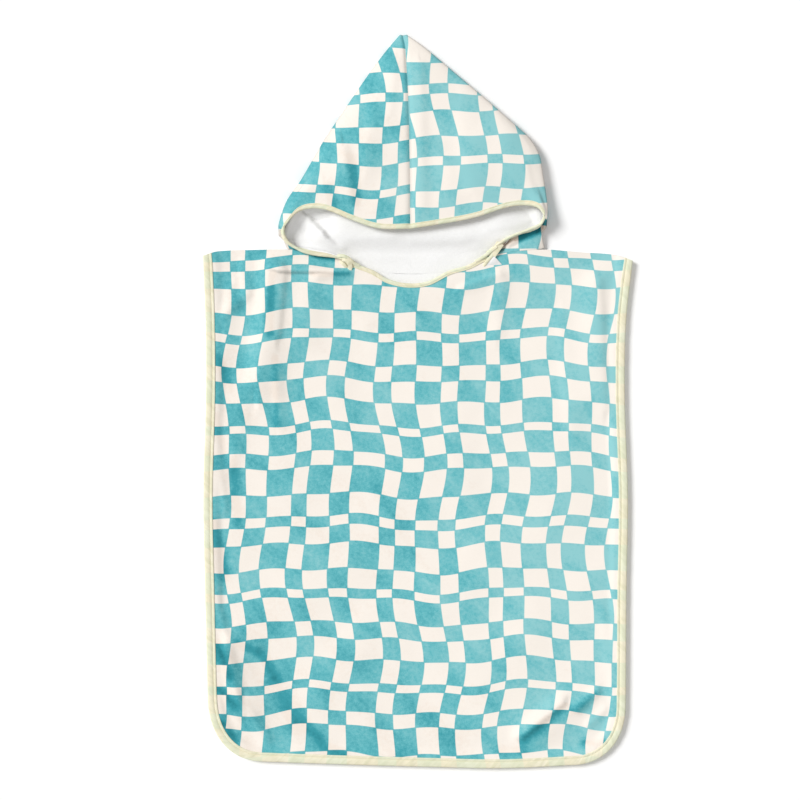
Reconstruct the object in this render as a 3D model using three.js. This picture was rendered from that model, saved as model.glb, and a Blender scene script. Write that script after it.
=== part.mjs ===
// A child's hooded bath poncho, laid out flat on its back with the front upwards.
// Millimetres, +Z up, +Y towards the hood's peak, origin under the middle of the garment's box.
import * as THREE from 'three';

// Cloth, tape and clearances
const CLOTH = 2.0;
const TAPE = 0.8;
const GAP = 0.3;
const HALF_CLOTH = CLOTH / 2;
const TAPE_REACH_OUT = HALF_CLOTH + GAP + TAPE;
const FACE_GAP = 0.4;
const FOLD_OUT = 1.9;
const FOLD_ACROSS = 1.2;
const HEM_TAPE_WIDTH = 11;
const FACE_TAPE_WIDTH = 5.6;
const NECK_TAPE_WIDTH = 4.4;

// Levels of each layer's middle surface above the floor
const BACK_LEVEL = HALF_CLOTH;
const BACK_HEM_RISE = GAP + TAPE;
const FRONT_LEVEL = CLOTH + GAP + HALF_CLOTH;
const FRONT_HEM_RISE = 3 * (GAP + TAPE);
const NECK_LIFT = 3.2;
const NECK_LIFT_DEPTH = 95;
const NECK_LIFT_SIDE = { full: 195, none: 250 };
const RIDGE_FADE = 60;
const SEAM_STAND = 3.5;
const LIP_MARGIN = { width: 7, limit: 0.6 };
const LIP_SPLITS = [0.36, 0.7];

// Body outline: the outer edge of the hem tape, by level down the garment
const SIDES = [
  { level: 204, left: -301, right: 301.6 },
  { level: 114, left: -297.4, right: 291.5 },
  { level: 9, left: -296.8, right: 289.4 },
  { level: -131, left: -300.4, right: 293.8 },
  { level: -271, left: -297.8, right: 291.8 },
  { level: -376, left: -295.4, right: 291.2 },
  { level: -440, left: -293.5, right: 290.6 },
];
const HEM = [
  { across: -260, level: -502 },
  { across: -112, level: -507.5 },
  { across: 20, level: -511.2 },
  { across: 122, level: -513 },
  { across: 260, level: -506 },
];
const CORNER = {
  left: { width: 80, top: -408 },
  right: { width: 78, top: -422 },
};
const CORNER_ROUNDNESS = 0.9;
const SHOULDER = { left: 204, right: 197 };

// The top edges: shoulders, then the neck seam or the scooped neckline between them
const FRONT_TOP = [
  { across: -302, level: 203 },
  { across: -280, level: 210 },
  { across: -227, level: 212 },
  { across: -186, level: 212.6 },
  { across: -150, level: 211 },
  { across: -117, level: 203.5 },
  { across: -103, level: 196.5 },
  { across: -64, level: 182 },
  { across: -42, level: 169.5 },
  { across: -14, level: 163.5 },
  { across: 14, level: 166.5 },
  { across: 44, level: 181.5 },
  { across: 70, level: 189 },
  { across: 97, level: 202 },
  { across: 134, level: 209.5 },
  { across: 176, level: 212.4 },
  { across: 223, level: 209 },
  { across: 276, level: 205 },
  { across: 302, level: 196 },
];
const BACK_TOP = [
  { across: -302, level: 203 },
  { across: -280, level: 210 },
  { across: -227, level: 212 },
  { across: -186, level: 212.6 },
  { across: -140, level: 209 },
  { across: -85, level: 187 },
  { across: -11, level: 178.5 },
  { across: 70, level: 186 },
  { across: 130, level: 208 },
  { across: 176, level: 212.4 },
  { across: 223, level: 209 },
  { across: 276, level: 205 },
  { across: 302, level: 196 },
];

// Broad soft ridges of the front panel, each a line with a half-width and a height
const RIDGES = [
  { fromX: -196, fromY: 190, toX: -218, toY: 60, spread: 26, height: 4.5 },
  { fromX: -150, fromY: 178, toX: -160, toY: 95, spread: 22, height: 2.6 },
  { fromX: 245, fromY: 160, toX: 238, toY: 10, spread: 24, height: 2.2 },
  { fromX: -262, fromY: -350, toX: -232, toY: -430, spread: 20, height: 2.6 },
  { fromX: 160, fromY: -470, toX: 215, toY: -425, spread: 22, height: 2.8 },
];

// Hood sections from the peak to the corner of the face opening, then down to the neck seam
const HOOD_ROWS = [
  { seamX: -21, seamY: 511.5, left: [-25, 512.2, 3.2], right: [-16, 512.2, 3.2], puff: 5.6, backY: 511.5 },
  { seamX: -18, seamY: 496, left: [-43, 491, 3.6], right: [8, 495, 3.6], puff: 8, backY: 494 },
  { seamX: -16, seamY: 468, left: [-67, 459, 4.2], right: [52, 458, 4.2], puff: 11, backY: 464 },
  { seamX: -14, seamY: 437, left: [-89, 427, 5.0], right: [92, 424, 5.2], puff: 14, backY: 434 },
  { seamX: -13, seamY: 404, left: [-109, 397, 6.0], right: [126, 394, 6.6], puff: 17, backY: 404 },
  { seamX: -12, seamY: 370, left: [-129, 367, 7.2], right: [155, 367, 8.2], puff: 20, backY: 372 },
  { seamX: -11.5, seamY: 338, left: [-147, 336, 8.6], right: [168.5, 344, 10], puff: 22, backY: 340 },
  { seamX: -11, seamY: 306, left: [-164, 307, 9.6], right: [174, 314, 11.5], puff: 24, backY: 308 },
  { seamX: -11, seamY: 274, left: [-183, 279, 10.4], right: [178, 285, 12.8], puff: 25.5, backY: 278 },
  { seamX: -11, seamY: 242, left: [-194.5, 247, 11.5], right: [179.5, 257, 13.2], puff: 26, backY: 249 },
  { seamX: -11, seamY: 242, left: [-194, 238, 9.5], right: [176, 241, 11], puff: 26, backY: 226 },
  { seamX: -11, seamY: 242, left: [-191, 227, 6.5], right: [175, 228, 8], puff: 26, backY: 202 },
  { seamX: -11, seamY: 242, left: [-187.5, 214.6, 3.8], right: [177.5, 214.4, 3.8], puff: 26, backY: 179 },
];
const CENTRE = -11;
const MOUTH_ROW = 9;
const BOW_START_ROW = 3.5;
const LAST_ROW = HOOD_ROWS.length - 1;
const RIM_DEGREES = 75;
const FRONT_DOME = 0.5;
const BACK_FLATNESS = 0.22;

// Cloth edge of the forehead, from the centre seam out to the corner of the opening
const FOREHEAD = {
  left: [
    { across: -11, level: 242 },
    { across: -55, level: 242.5 },
    { across: -91, level: 254 },
    { across: -128, level: 268.5 },
    { across: -152, level: 270 },
    { across: -170, level: 263 },
    { across: -187, level: 243 },
  ],
  right: [
    { across: -11, level: 242 },
    { across: 26, level: 247.5 },
    { across: 78, level: 256.8 },
    { across: 128, level: 272 },
    { across: 154, level: 274.6 },
    { across: 168, level: 269.5 },
    { across: 174, level: 257 },
  ],
};

// Lower lip of the opening on each side, from its corner to the neck point
const LIP = {
  left: [
    { lip: [-187, 243, 19], seamX: -185, roll: [-191.5, 239, 14.5], low: [-190, 226, 9.5] },
    { lip: [-187.4, 236, 18.6], seamX: -182, roll: [-190.5, 231.5, 13.8], low: [-186, 218, 9.5] },
    { lip: [-185, 228, 17.8], seamX: -178, roll: [-186, 222.5, 13.6] },
    { lip: [-178, 219, 16.4], seamX: -171 },
    { lip: [-160, 208.8, 14.2], seamX: -155 },
    { lip: [-141, 204.4, 13], seamX: -136 },
    { lip: [-121, 202.4, 12.4], seamX: -119 },
    { lip: [-107, 198.6, 11.6], seamX: -104 },
  ],
  right: [
    { lip: [174, 257, 22], seamX: 173.5 },
    { lip: [169, 247, 20], seamX: 166 },
    { lip: [158, 241.5, 18], seamX: 154 },
    { lip: [146, 236.5, 16], seamX: 142 },
    { lip: [133, 231.5, 14], seamX: 129 },
    { lip: [117, 224, 12], seamX: 115 },
    { lip: [98, 211, 10], seamX: 98 },
  ],
};

// Facet counts
const SIDE_CELLS = 9;
const ARC_CELLS = 3;
const HEM_ARC_SHARE = 0.17;
const OUTLINE_STEP = 0.004;
const CUT_LIMIT = 0.9;
const FRAME_INSETS = [TAPE_REACH_OUT, HEM_TAPE_WIDTH + 5, HEM_TAPE_WIDTH + 16];
const FRONT_TOP_STATIONS = [-230];
const SCOOP_STATIONS = [-98, -76, -52, -31, -8, 15, 38, 64, 92];
const FRONT_TOP_STATIONS_RIGHT = [225];
const BACK_TOP_STATIONS = [-230];
const HOOD_ROW_STEPS = 12;
const HOOD_DEGREES = [0, 13, 26, 39, 51, 62, 70, 75, 90, 105, 110, 118, 129, 141, 154, 167, 180];

const PRINT = { color: 0x8fcdd0, roughness: 0.95, metalness: 0 };
const BIAS_TAPE = { color: 0xf3ecc8, roughness: 0.8, metalness: 0 };

const clamp01 = (value) => Math.min(1, Math.max(0, value));
const smooth = (value) => clamp01(value) ** 2 * (3 - 2 * clamp01(value));
const lerp = (a, b, f) => a + (b - a) * f;

// A smooth curve through a table's rows, read by its first column
function readTable(rows, key, value) {
  return (at) => {
    const rising = rows[rows.length - 1][key] > rows[0][key];
    let i = 1;
    while (i < rows.length - 1 && (rising ? rows[i][key] < at : rows[i][key] > at)) i += 1;
    const [a, b] = [rows[i - 1], rows[i]];
    const before = rows[Math.max(0, i - 2)];
    const after = rows[Math.min(rows.length - 1, i + 1)];
    const span = b[key] - a[key];
    const f = (at - a[key]) / span;
    if (f < 0 || f > 1) return lerp(a[value], b[value], f);
    const slopeA = ((b[value] - before[value]) / (b[key] - before[key])) * span;
    const slopeB = ((after[value] - a[value]) / (after[key] - a[key])) * span;
    const f2 = f * f;
    const f3 = f2 * f;
    return (2 * f3 - 3 * f2 + 1) * a[value] + (f3 - 2 * f2 + f) * slopeA
      + (3 * f2 - 2 * f3) * b[value] + (f3 - f2) * slopeB;
  };
}

const sideEdge = {
  left: readTable(SIDES, 'level', 'left'),
  right: readTable(SIDES, 'level', 'right'),
};
const hemLine = readTable(HEM, 'across', 'level');
const frontTop = readTable(FRONT_TOP, 'across', 'level');
const backTop = readTable(BACK_TOP, 'across', 'level');

// ---------------------------------------------------------------- sheets

// A middle surface of quads, whose equal points are one vertex
class Sheet {
  constructor() {
    this.points = [];
    this.quads = [];
    this.known = new Map();
    this.flatten = new Map();
  }

  vertex(point) {
    const key = point.toArray().map((v) => Math.round(v * 500)).join();
    if (!this.known.has(key)) {
      this.known.set(key, this.points.length);
      this.points.push(point.clone());
    }
    return this.known.get(key);
  }

  // Adds a patch from rows of points; the cloth's outer face is on the side of (row x column)
  patch(rows) {
    const ids = rows.map((row) => row.map((point) => this.vertex(point)));
    for (let i = 0; i + 1 < ids.length; i += 1) {
      for (let j = 0; j + 1 < ids[i].length; j += 1) {
        this.quads.push([ids[i][j], ids[i + 1][j], ids[i + 1][j + 1], ids[i][j + 1]]);
      }
    }
    return ids;
  }

  // A seam's edge is square to the seam: its normals lose their part along the given axis
  squareEdge(ids, axis) {
    ids.forEach((id) => this.flatten.set(id, axis));
  }

  triangles() {
    return this.quads.flatMap(([a, b, c, d]) => [[a, b, c], [a, c, d]])
      .filter(([a, b, c]) => a !== b && b !== c && a !== c);
  }

  normals() {
    const sums = this.points.map(() => new THREE.Vector3());
    const ab = new THREE.Vector3();
    const ac = new THREE.Vector3();
    for (const [a, b, c] of this.triangles()) {
      ab.subVectors(this.points[b], this.points[a]);
      ac.subVectors(this.points[c], this.points[a]);
      const face = ab.clone().cross(ac);
      [a, b, c].forEach((id) => sums[id].add(face));
    }
    this.flatten.forEach((axis, id) => sums[id].setComponent(axis, 0));
    return sums.map((sum) => sum.normalize());
  }

  // The cloth: both faces and a wall round every free edge
  thicken(thickness) {
    const normals = this.normals();
    const count = this.points.length;
    const positions = [];
    for (const side of [1, -1]) {
      this.points.forEach((point, id) => {
        positions.push(...point.clone().addScaledVector(normals[id], (side * thickness) / 2).toArray());
      });
    }
    const triangles = this.triangles();
    const edges = new Set(triangles.flatMap(([a, b, c]) => [`${a} ${b}`, `${b} ${c}`, `${c} ${a}`]));
    const index = [];
    for (const [a, b, c] of triangles) {
      index.push(a, b, c, a + count, c + count, b + count);
    }
    for (const edge of edges) {
      const [a, b] = edge.split(' ').map(Number);
      if (!edges.has(`${b} ${a}`)) {
        index.push(a, a + count, b + count, a, b + count, b);
      }
    }
    return solidGeometry(positions, index);
  }
}

function solidGeometry(positions, index) {
  const geometry = new THREE.BufferGeometry();
  geometry.setAttribute('position', new THREE.Float32BufferAttribute(positions, 3));
  geometry.setIndex(index);
  geometry.computeVertexNormals();
  return geometry;
}

// Tape folded round a cloth edge: two legs that follow the cloth's own facets, and a round fold.
// The ring holds the cloth's points, their normals, and the quads that touch the bound path.
function bindingGeometry({ points, normals, quads }, boundPath, width, gap = GAP) {
  const reachIn = HALF_CLOTH + gap;
  const reachOut = reachIn + TAPE;
  const onPath = new Set(boundPath);
  const legPoints = [];
  const legNormals = [];
  const known = new Map();
  const legVertex = (key, makePoint, makeNormal) => {
    if (!known.has(key)) {
      known.set(key, legPoints.length);
      legPoints.push(makePoint());
      legNormals.push(makeNormal());
    }
    return known.get(key);
  };
  const onEdge = (id) => legVertex(`${id}`, () => points[id].clone(), () => normals[id].clone());
  // How far each inner point lies from the path: the cuts towards it share one fraction
  const depth = new Map();
  quads.flat().filter((id) => !onPath.has(id)).forEach((id) => {
    const distances = boundPath.map((bound) => points[id].distanceTo(points[bound]));
    depth.set(id, Math.min(...distances));
  });
  const cut = (from, to) => {
    const share = Math.min(CUT_LIMIT, width / depth.get(to));
    return legVertex(
      `${from} ${to}`,
      () => points[from].clone().lerp(points[to], share),
      () => normals[from].clone().lerp(normals[to], share),
    );
  };

  // The legs' facets: the part of each cloth facet that lies near the bound path
  const facets = [];
  const cloth = quads.flatMap(([a, b, c, d]) => [[a, b, c], [a, c, d]])
    .filter(([a, b, c]) => a !== b && b !== c && a !== c);
  for (const triangle of cloth) {
    const bound = triangle.filter((id) => onPath.has(id)).length;
    const start = triangle.findIndex((id, k) => onPath.has(id) && !onPath.has(triangle[(k + 2) % 3]));
    const [p, q, r] = start < 0 ? triangle : [0, 1, 2].map((k) => triangle[(start + k) % 3]);
    if (bound === 3) facets.push([onEdge(p), onEdge(q), onEdge(r)]);
    if (bound === 2) {
      facets.push([onEdge(p), onEdge(q), cut(q, r)], [onEdge(p), cut(q, r), cut(p, r)]);
    }
    if (bound === 1) facets.push([onEdge(p), cut(p, q), cut(p, r)]);
  }

  // The four faces of the two legs, from the top of the tape to its underside
  const positions = [];
  const levels = [reachOut, reachIn, -reachIn, -reachOut];
  const index = [];
  const count = legPoints.length;
  levels.forEach((level, face) => {
    legPoints.forEach((point, id) => {
      positions.push(...point.clone().addScaledVector(legNormals[id], level).toArray());
    });
    const base = face * count;
    facets.forEach(([a, b, c]) => {
      index.push(a + base, ...(face % 2 ? [c + base, b + base] : [b + base, c + base]));
    });
  });
  const quad = (a, b, c, d) => index.push(a, b, c, a, c, d);

  // The fold round each point of the path
  const directed = new Set(facets.flatMap(([a, b, c]) => [`${a} ${b}`, `${b} ${c}`, `${c} ${a}`]));
  const along = directed.has(`${onEdge(boundPath[0])} ${onEdge(boundPath[1])}`)
    ? boundPath : [...boundPath].reverse();
  const foldSection = [
    [FOLD_OUT, FOLD_ACROSS], [FOLD_OUT, -FOLD_ACROSS], [gap, reachIn], [gap, -reachIn],
  ];
  const rings = along.map((id, k) => {
    const before = points[along[Math.max(0, k - 1)]];
    const after = points[along[Math.min(along.length - 1, k + 1)]];
    const out = after.clone().sub(before).cross(normals[id]).normalize();
    const first = positions.length / 3;
    foldSection.forEach(([outward, across]) => {
      positions.push(...points[id].clone().addScaledVector(out, outward)
        .addScaledVector(normals[id], across).toArray());
    });
    const leg = onEdge(id);
    const faces = levels.map((_, face) => leg + face * count);
    return {
      outer: [faces[0], first, first + 1, faces[3]],
      inner: [faces[1], first + 2, first + 3, faces[2]],
    };
  });
  for (let k = 0; k + 1 < rings.length; k += 1) {
    const [a, b] = [rings[k], rings[k + 1]];
    for (let j = 0; j < 3; j += 1) {
      quad(a.outer[j], a.outer[j + 1], b.outer[j + 1], b.outer[j]);
      quad(a.inner[j], b.inner[j], b.inner[j + 1], a.inner[j + 1]);
    }
  }

  // The legs' free edges, and the two ends of the fold
  const foldEdges = new Set(along.slice(1).map((id, k) => `${onEdge(along[k])} ${onEdge(id)}`));
  for (const edge of directed) {
    const [a, b] = edge.split(' ').map(Number);
    if (!directed.has(`${b} ${a}`) && !foldEdges.has(edge)) {
      quad(a, a + count, b + count, b);
      quad(a + 2 * count, a + 3 * count, b + 3 * count, b + 2 * count);
    }
  }
  const endCap = ({ outer, inner }) => [0, 1, 2].flatMap((j) => [
    [outer[j], outer[j + 1], inner[j]], [outer[j + 1], inner[j + 1], inner[j]],
  ]);
  endCap(rings[0]).forEach(([a, b, c]) => index.push(a, c, b));
  endCap(rings[rings.length - 1]).forEach((triangle) => index.push(...triangle));
  return solidGeometry(positions, index);
}

// The cells of a patch between two of its rows of ids, from one column to another
function cellsBetween(outerRow, innerRow, from = 0, to = outerRow.length - 1) {
  return Array.from({ length: to - from }, (_, k) => {
    const j = from + k;
    return [outerRow[j], innerRow[j], innerRow[j + 1], outerRow[j + 1]];
  });
}

// ---------------------------------------------------------------- body panels

// Outline point at a share of the way down a side: straight part, then half of the corner
function sidePoint(side, share) {
  const straight = SIDE_CELLS / (SIDE_CELLS + ARC_CELLS);
  if (share <= straight) {
    const level = lerp(SHOULDER[side], CORNER[side].top, share / straight);
    return new THREE.Vector3(sideEdge[side](level), level, 0);
  }
  return cornerPoint(side, ((share - straight) / (1 - straight)) * (Math.PI / 4));
}

// Corner arc: 0 at the side, a right angle at the hem
function cornerPoint(side, angle) {
  const { width, top } = CORNER[side];
  const outwards = side === 'left' ? -1 : 1;
  const start = sideEdge[side](top);
  const across = start - outwards * width * (1 - Math.cos(angle) ** CORNER_ROUNDNESS);
  const depth = top - hemLine(start - outwards * width);
  return new THREE.Vector3(across, top - depth * Math.sin(angle) ** CORNER_ROUNDNESS, 0);
}

// Hem point at a share of the way across, from one corner's middle to the other's
function hemPoint(share) {
  const arc = HEM_ARC_SHARE;
  if (share < arc) return cornerPoint('left', lerp(Math.PI / 4, Math.PI / 2, share / arc));
  if (share > 1 - arc) return cornerPoint('right', lerp(Math.PI / 2, Math.PI / 4, (share - 1 + arc) / arc));
  const from = sideEdge.left(CORNER.left.top) + CORNER.left.width;
  const to = sideEdge.right(CORNER.right.top) - CORNER.right.width;
  const across = lerp(from, to, (share - arc) / (1 - 2 * arc));
  return new THREE.Vector3(across, hemLine(across), 0);
}

// Inward direction of the outline, in the plane of the cloth
function inwardAt(pointAt, share, turn) {
  const ahead = pointAt(Math.min(1, share + OUTLINE_STEP));
  const behind = pointAt(Math.max(0, share - OUTLINE_STEP));
  const along = ahead.sub(behind).normalize();
  return new THREE.Vector3(-along.y * turn, along.x * turn, 0);
}

function distanceToLine(x, y, { fromX, fromY, toX, toY }) {
  const [dx, dy] = [toX - fromX, toY - fromY];
  const f = clamp01(((x - fromX) * dx + (y - fromY) * dy) / (dx * dx + dy * dy));
  return Math.hypot(x - fromX - f * dx, y - fromY - f * dy);
}

function frontLevel(x, y, rise) {
  const depth = Math.max(0, frontTop(x) - y);
  const sideFade = smooth((NECK_LIFT_SIDE.none - Math.abs(x)) / (NECK_LIFT_SIDE.none - NECK_LIFT_SIDE.full));
  const lift = NECK_LIFT * smooth(1 - depth / NECK_LIFT_DEPTH) * sideFade;
  const ridges = RIDGES.reduce((sum, ridge) => (
    sum + ridge.height * Math.exp(-((distanceToLine(x, y, ridge) / ridge.spread) ** 2))), 0);
  return FRONT_LEVEL + FRONT_HEM_RISE * rise + lift + ridges * (1 - rise) * smooth(depth / RIDGE_FADE);
}

const backLevel = (x, y, rise) => BACK_LEVEL + BACK_HEM_RISE * rise;

// A panel: a frame of two strips along its bound edges, and a grid blended between its four sides
function buildPanel(topLine, topStations, levelAt) {
  const sheet = new Sheet();
  const sideCells = SIDE_CELLS + ARC_CELLS;
  const innerLeft = sideEdge.left(SHOULDER.left) + FRAME_INSETS[2];
  const innerRight = sideEdge.right(SHOULDER.right) - FRAME_INSETS[2];
  const stations = [innerLeft, ...topStations, innerRight];
  const shares = stations.map((x) => (x - innerLeft) / (innerRight - innerLeft));

  // One ring of the frame: left side, hem and right side, inset by a distance
  const ring = (inset) => {
    const lifted = (point, inward) => {
      const moved = point.addScaledVector(inward, inset);
      const rise = inset === FRAME_INSETS[2] ? 0 : 1;
      return moved.setZ(levelAt(moved.x, moved.y, rise));
    };
    const side = (name, turn) => Array.from({ length: sideCells + 1 }, (_, i) => {
      const share = i / sideCells;
      const pointAt = (f) => sidePoint(name, f);
      const inward = i === 0 ? new THREE.Vector3(turn, 0, 0) : inwardAt(pointAt, share, turn);
      const point = lifted(pointAt(share), inward);
      if (i === 0) point.setY(topLine(point.x) - GAP / 2);
      return point;
    });
    const hem = shares.map((share) => lifted(hemPoint(share), inwardAt(hemPoint, share, 1)));
    const [left, right] = [side('left', 1), side('right', -1)];
    hem[0] = left[sideCells];
    hem[hem.length - 1] = right[sideCells];
    return { left, hem, right };
  };
  const rings = FRAME_INSETS.map(ring);
  const loop = ({ left, hem, right }) => [...left, ...hem.slice(1, -1), ...[...right].reverse()];
  const frameIds = sheet.patch(rings.map(loop).reverse());

  // The grid inside the frame
  const { left, hem, right } = rings[2];
  const top = stations.map((x, j) => {
    if (j === 0) return left[0];
    if (j === stations.length - 1) return right[0];
    const y = topLine(x) - GAP / 2;
    return new THREE.Vector3(x, y, levelAt(x, y, 0));
  });
  const rows = Array.from({ length: sideCells + 1 }, (_, i) => shares.map((s, j) => {
    const t = i / sideCells;
    if (i === 0) return top[j];
    if (i === sideCells) return hem[j];
    if (j === 0) return left[i];
    if (j === shares.length - 1) return right[i];
    const blend = (axis) => lerp(left[i][axis], right[i][axis], s) + lerp(top[j][axis], hem[j][axis], t)
      - lerp(lerp(top[0][axis], top[top.length - 1][axis], s), lerp(hem[0][axis], hem[hem.length - 1][axis], s), t);
    const [x, y] = [blend('x'), blend('y')];
    return new THREE.Vector3(x, y, levelAt(x, y, 0));
  }));
  const gridIds = sheet.patch(rows);
  const frameEnds = frameIds.flatMap((ids) => [ids[0], ids[ids.length - 1]]);
  sheet.squareEdge([...gridIds[0], ...frameEnds], 1);
  return { sheet, frameIds, gridIds };
}

// ---------------------------------------------------------------- hood

const radians = (degrees) => (degrees * Math.PI) / 180;

function curveThrough(points) {
  const curve = new THREE.CatmullRomCurve3(points.map((p) => new THREE.Vector3(...p)), false, 'catmullrom', 0.5);
  return (row) => curve.getPoint(row / (points.length - 1));
}

function hoodCurves(side) {
  return {
    seam: curveThrough(HOOD_ROWS.slice(0, MOUTH_ROW + 1).map(({ seamX, seamY, puff }) => [seamX, seamY, puff])),
    outline: curveThrough(HOOD_ROWS.map((row) => row[side])),
    back: curveThrough(HOOD_ROWS.map(({ backY }) => [CENTRE, backY, BACK_LEVEL])),
    forehead: readTable(FOREHEAD[side], 'across', 'level'),
    corner: FOREHEAD[side].at(-1).across,
    outwards: side === 'left' ? -1 : 1,
  };
}

// A point of the hood: row from peak to neck seam, angle from centre front round to centre back
function hoodPoint(curves, row, degrees) {
  const angle = radians(degrees);
  const outline = curves.outline(row);
  const share = Math.sin(angle);
  const seam = curves.seam(Math.min(row, MOUTH_ROW));
  const x = lerp(seam.x + (curves.outwards * GAP) / 2, outline.x, share);
  if (degrees <= 90) {
    // The sections bow upwards towards the forehead's edge, but not on the side fold
    const rimShare = Math.sin(radians(RIM_DEGREES));
    const mouthX = lerp(seam.x, curves.corner, share / rimShare);
    const mouthChord = lerp(HOOD_ROWS[MOUTH_ROW].seamY, curves.outline(MOUTH_ROW).y, share);
    const bow = degrees < 90 ? curves.forehead(mouthX) - mouthChord : 0;
    const nearMouth = smooth((row - BOW_START_ROW) / (MOUTH_ROW - BOW_START_ROW));
    const y = lerp(seam.y, outline.y, share) + bow * nearMouth;
    const z = outline.z + (seam.z - outline.z) * Math.cos(angle) ** FRONT_DOME;
    return new THREE.Vector3(x, y, z);
  }
  const back = curves.back(row);
  const nearNeck = smooth((row - MOUTH_ROW + 2) / (LAST_ROW - MOUTH_ROW + 2));
  const level = lerp(lerp(back.y, outline.y, share), backTop(x) + GAP / 2, nearNeck);
  const z = outline.z - (outline.z - BACK_LEVEL) * Math.abs(Math.cos(angle)) ** BACK_FLATNESS;
  return new THREE.Vector3(x, level, z);
}

// The strip between the opening's lower lip and the neck seam, station by station
function lipStrip(side) {
  const rows = [[], [], [], []];
  LIP[side].forEach(({ lip, seamX, roll, low }) => {
    const start = new THREE.Vector3(...lip);
    const seamY = frontTop(seamX);
    const level = frontLevel(seamX, seamY, 0);
    if (side === 'left') {
      // The lip leans out over the shoulder from a wall that stands behind the front's edge
      const standing = seamY + GAP + HALF_CLOTH;
      const foot = new THREE.Vector3(seamX, standing, level - HALF_CLOTH);
      const head = new THREE.Vector3(seamX, standing, level + SEAM_STAND);
      const share = Math.min(LIP_MARGIN.limit, LIP_MARGIN.width / start.distanceTo(head));
      rows[0].push(start);
      rows[1].push(roll ? new THREE.Vector3(...roll) : start.clone().lerp(head, share));
      rows[2].push(low ? new THREE.Vector3(...low) : head);
      rows[3].push(foot);
    } else {
      const seam = new THREE.Vector3(seamX, seamY + GAP / 2, level);
      rows[0].push(start);
      rows[1].push(start.clone().lerp(seam, LIP_SPLITS[0]));
      rows[2].push(start.clone().lerp(seam, LIP_SPLITS[1]));
      rows[3].push(seam);
    }
  });
  return rows;
}

function buildHood(side) {
  const sheet = new Sheet();
  const curves = hoodCurves(side);
  const strip = lipStrip(side);
  const rimColumn = HOOD_DEGREES.indexOf(RIM_DEGREES);
  const upperRows = Array.from({ length: HOOD_ROW_STEPS + 1 }, (_, i) => (i / HOOD_ROW_STEPS) * MOUTH_ROW);
  const lowerRows = [MOUTH_ROW, MOUTH_ROW + 1, MOUTH_ROW + 2, MOUTH_ROW + 3];

  const upper = upperRows.map((row) => HOOD_DEGREES.map((degrees) => hoodPoint(curves, row, degrees)));
  const mouth = upper[upper.length - 1];
  mouth[rimColumn] = strip[0][0];
  const lower = lowerRows.map((row, i) => HOOD_DEGREES.slice(rimColumn).map((degrees, j) => {
    if (j === 0) return strip[i][0];
    return i === 0 ? mouth[rimColumn + j] : hoodPoint(curves, row, degrees);
  }));
  const cap = upper[0].slice(0, HOOD_DEGREES.indexOf(90) + 1)
    .map((point, j) => [upper[0][HOOD_DEGREES.length - 1 - j], point]);

  // Left and right halves run round in opposite senses, so that the print faces outwards on both
  const oriented = (rows) => (side === 'left' ? rows.map((row) => [...row].reverse()) : rows);
  sheet.patch(oriented(upper));
  sheet.patch(oriented(lower));
  const columnsFirst = cap[0].map((_, k) => cap.map((pair) => pair[k]));
  sheet.patch(oriented(columnsFirst));
  sheet.patch(oriented(strip.map((row) => [...row].reverse())));

  const idOf = (point) => sheet.vertex(point);
  upper.forEach((row) => {
    sheet.squareEdge([idOf(row[0]), idOf(row[row.length - 1])], 0);
  });
  lower.forEach((row) => sheet.squareEdge([idOf(row[row.length - 1])], 0));
  const foot = [...lower[lower.length - 1].map(idOf)];
  sheet.squareEdge(side === 'right' ? [...foot, ...strip[3].map(idOf)] : foot.slice(1), 1);

  // The bound edge: forehead from the centre seam to the corner, then the lip to the neck point
  const path = [...mouth.slice(0, rimColumn), ...strip[0]].map(idOf);
  const bound = new Set(path);
  const quads = sheet.quads.filter((quad) => quad.some((id) => bound.has(id)));
  return { sheet, path, quads, neckRow: lower[lower.length - 1], seamInside: idOf(upper[upper.length - 2][0]) };
}

// Both halves' cells along the opening as one ring, bridged across the centre seam
function faceRing(left, right) {
  const shift = left.sheet.points.length;
  const moved = (ids) => ids.map((id) => id + shift);
  const [leftEdge, rightEdge] = [left.path[0], right.path[0] + shift];
  const [leftInside, rightInside] = [left.seamInside, right.seamInside + shift];
  return {
    ring: {
      points: [...left.sheet.points, ...right.sheet.points],
      normals: [...left.sheet.normals(), ...right.sheet.normals()],
      quads: [...left.quads, ...right.quads.map(moved), [leftEdge, rightEdge, rightInside, leftInside]],
    },
    path: [...[...left.path].reverse(), ...moved(right.path)],
  };
}

// ---------------------------------------------------------------- assembly

function pieceMesh(name, geometry, look) {
  const mesh = new THREE.Mesh(geometry, new THREE.MeshStandardMaterial(look));
  mesh.name = name;
  return mesh;
}

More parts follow.
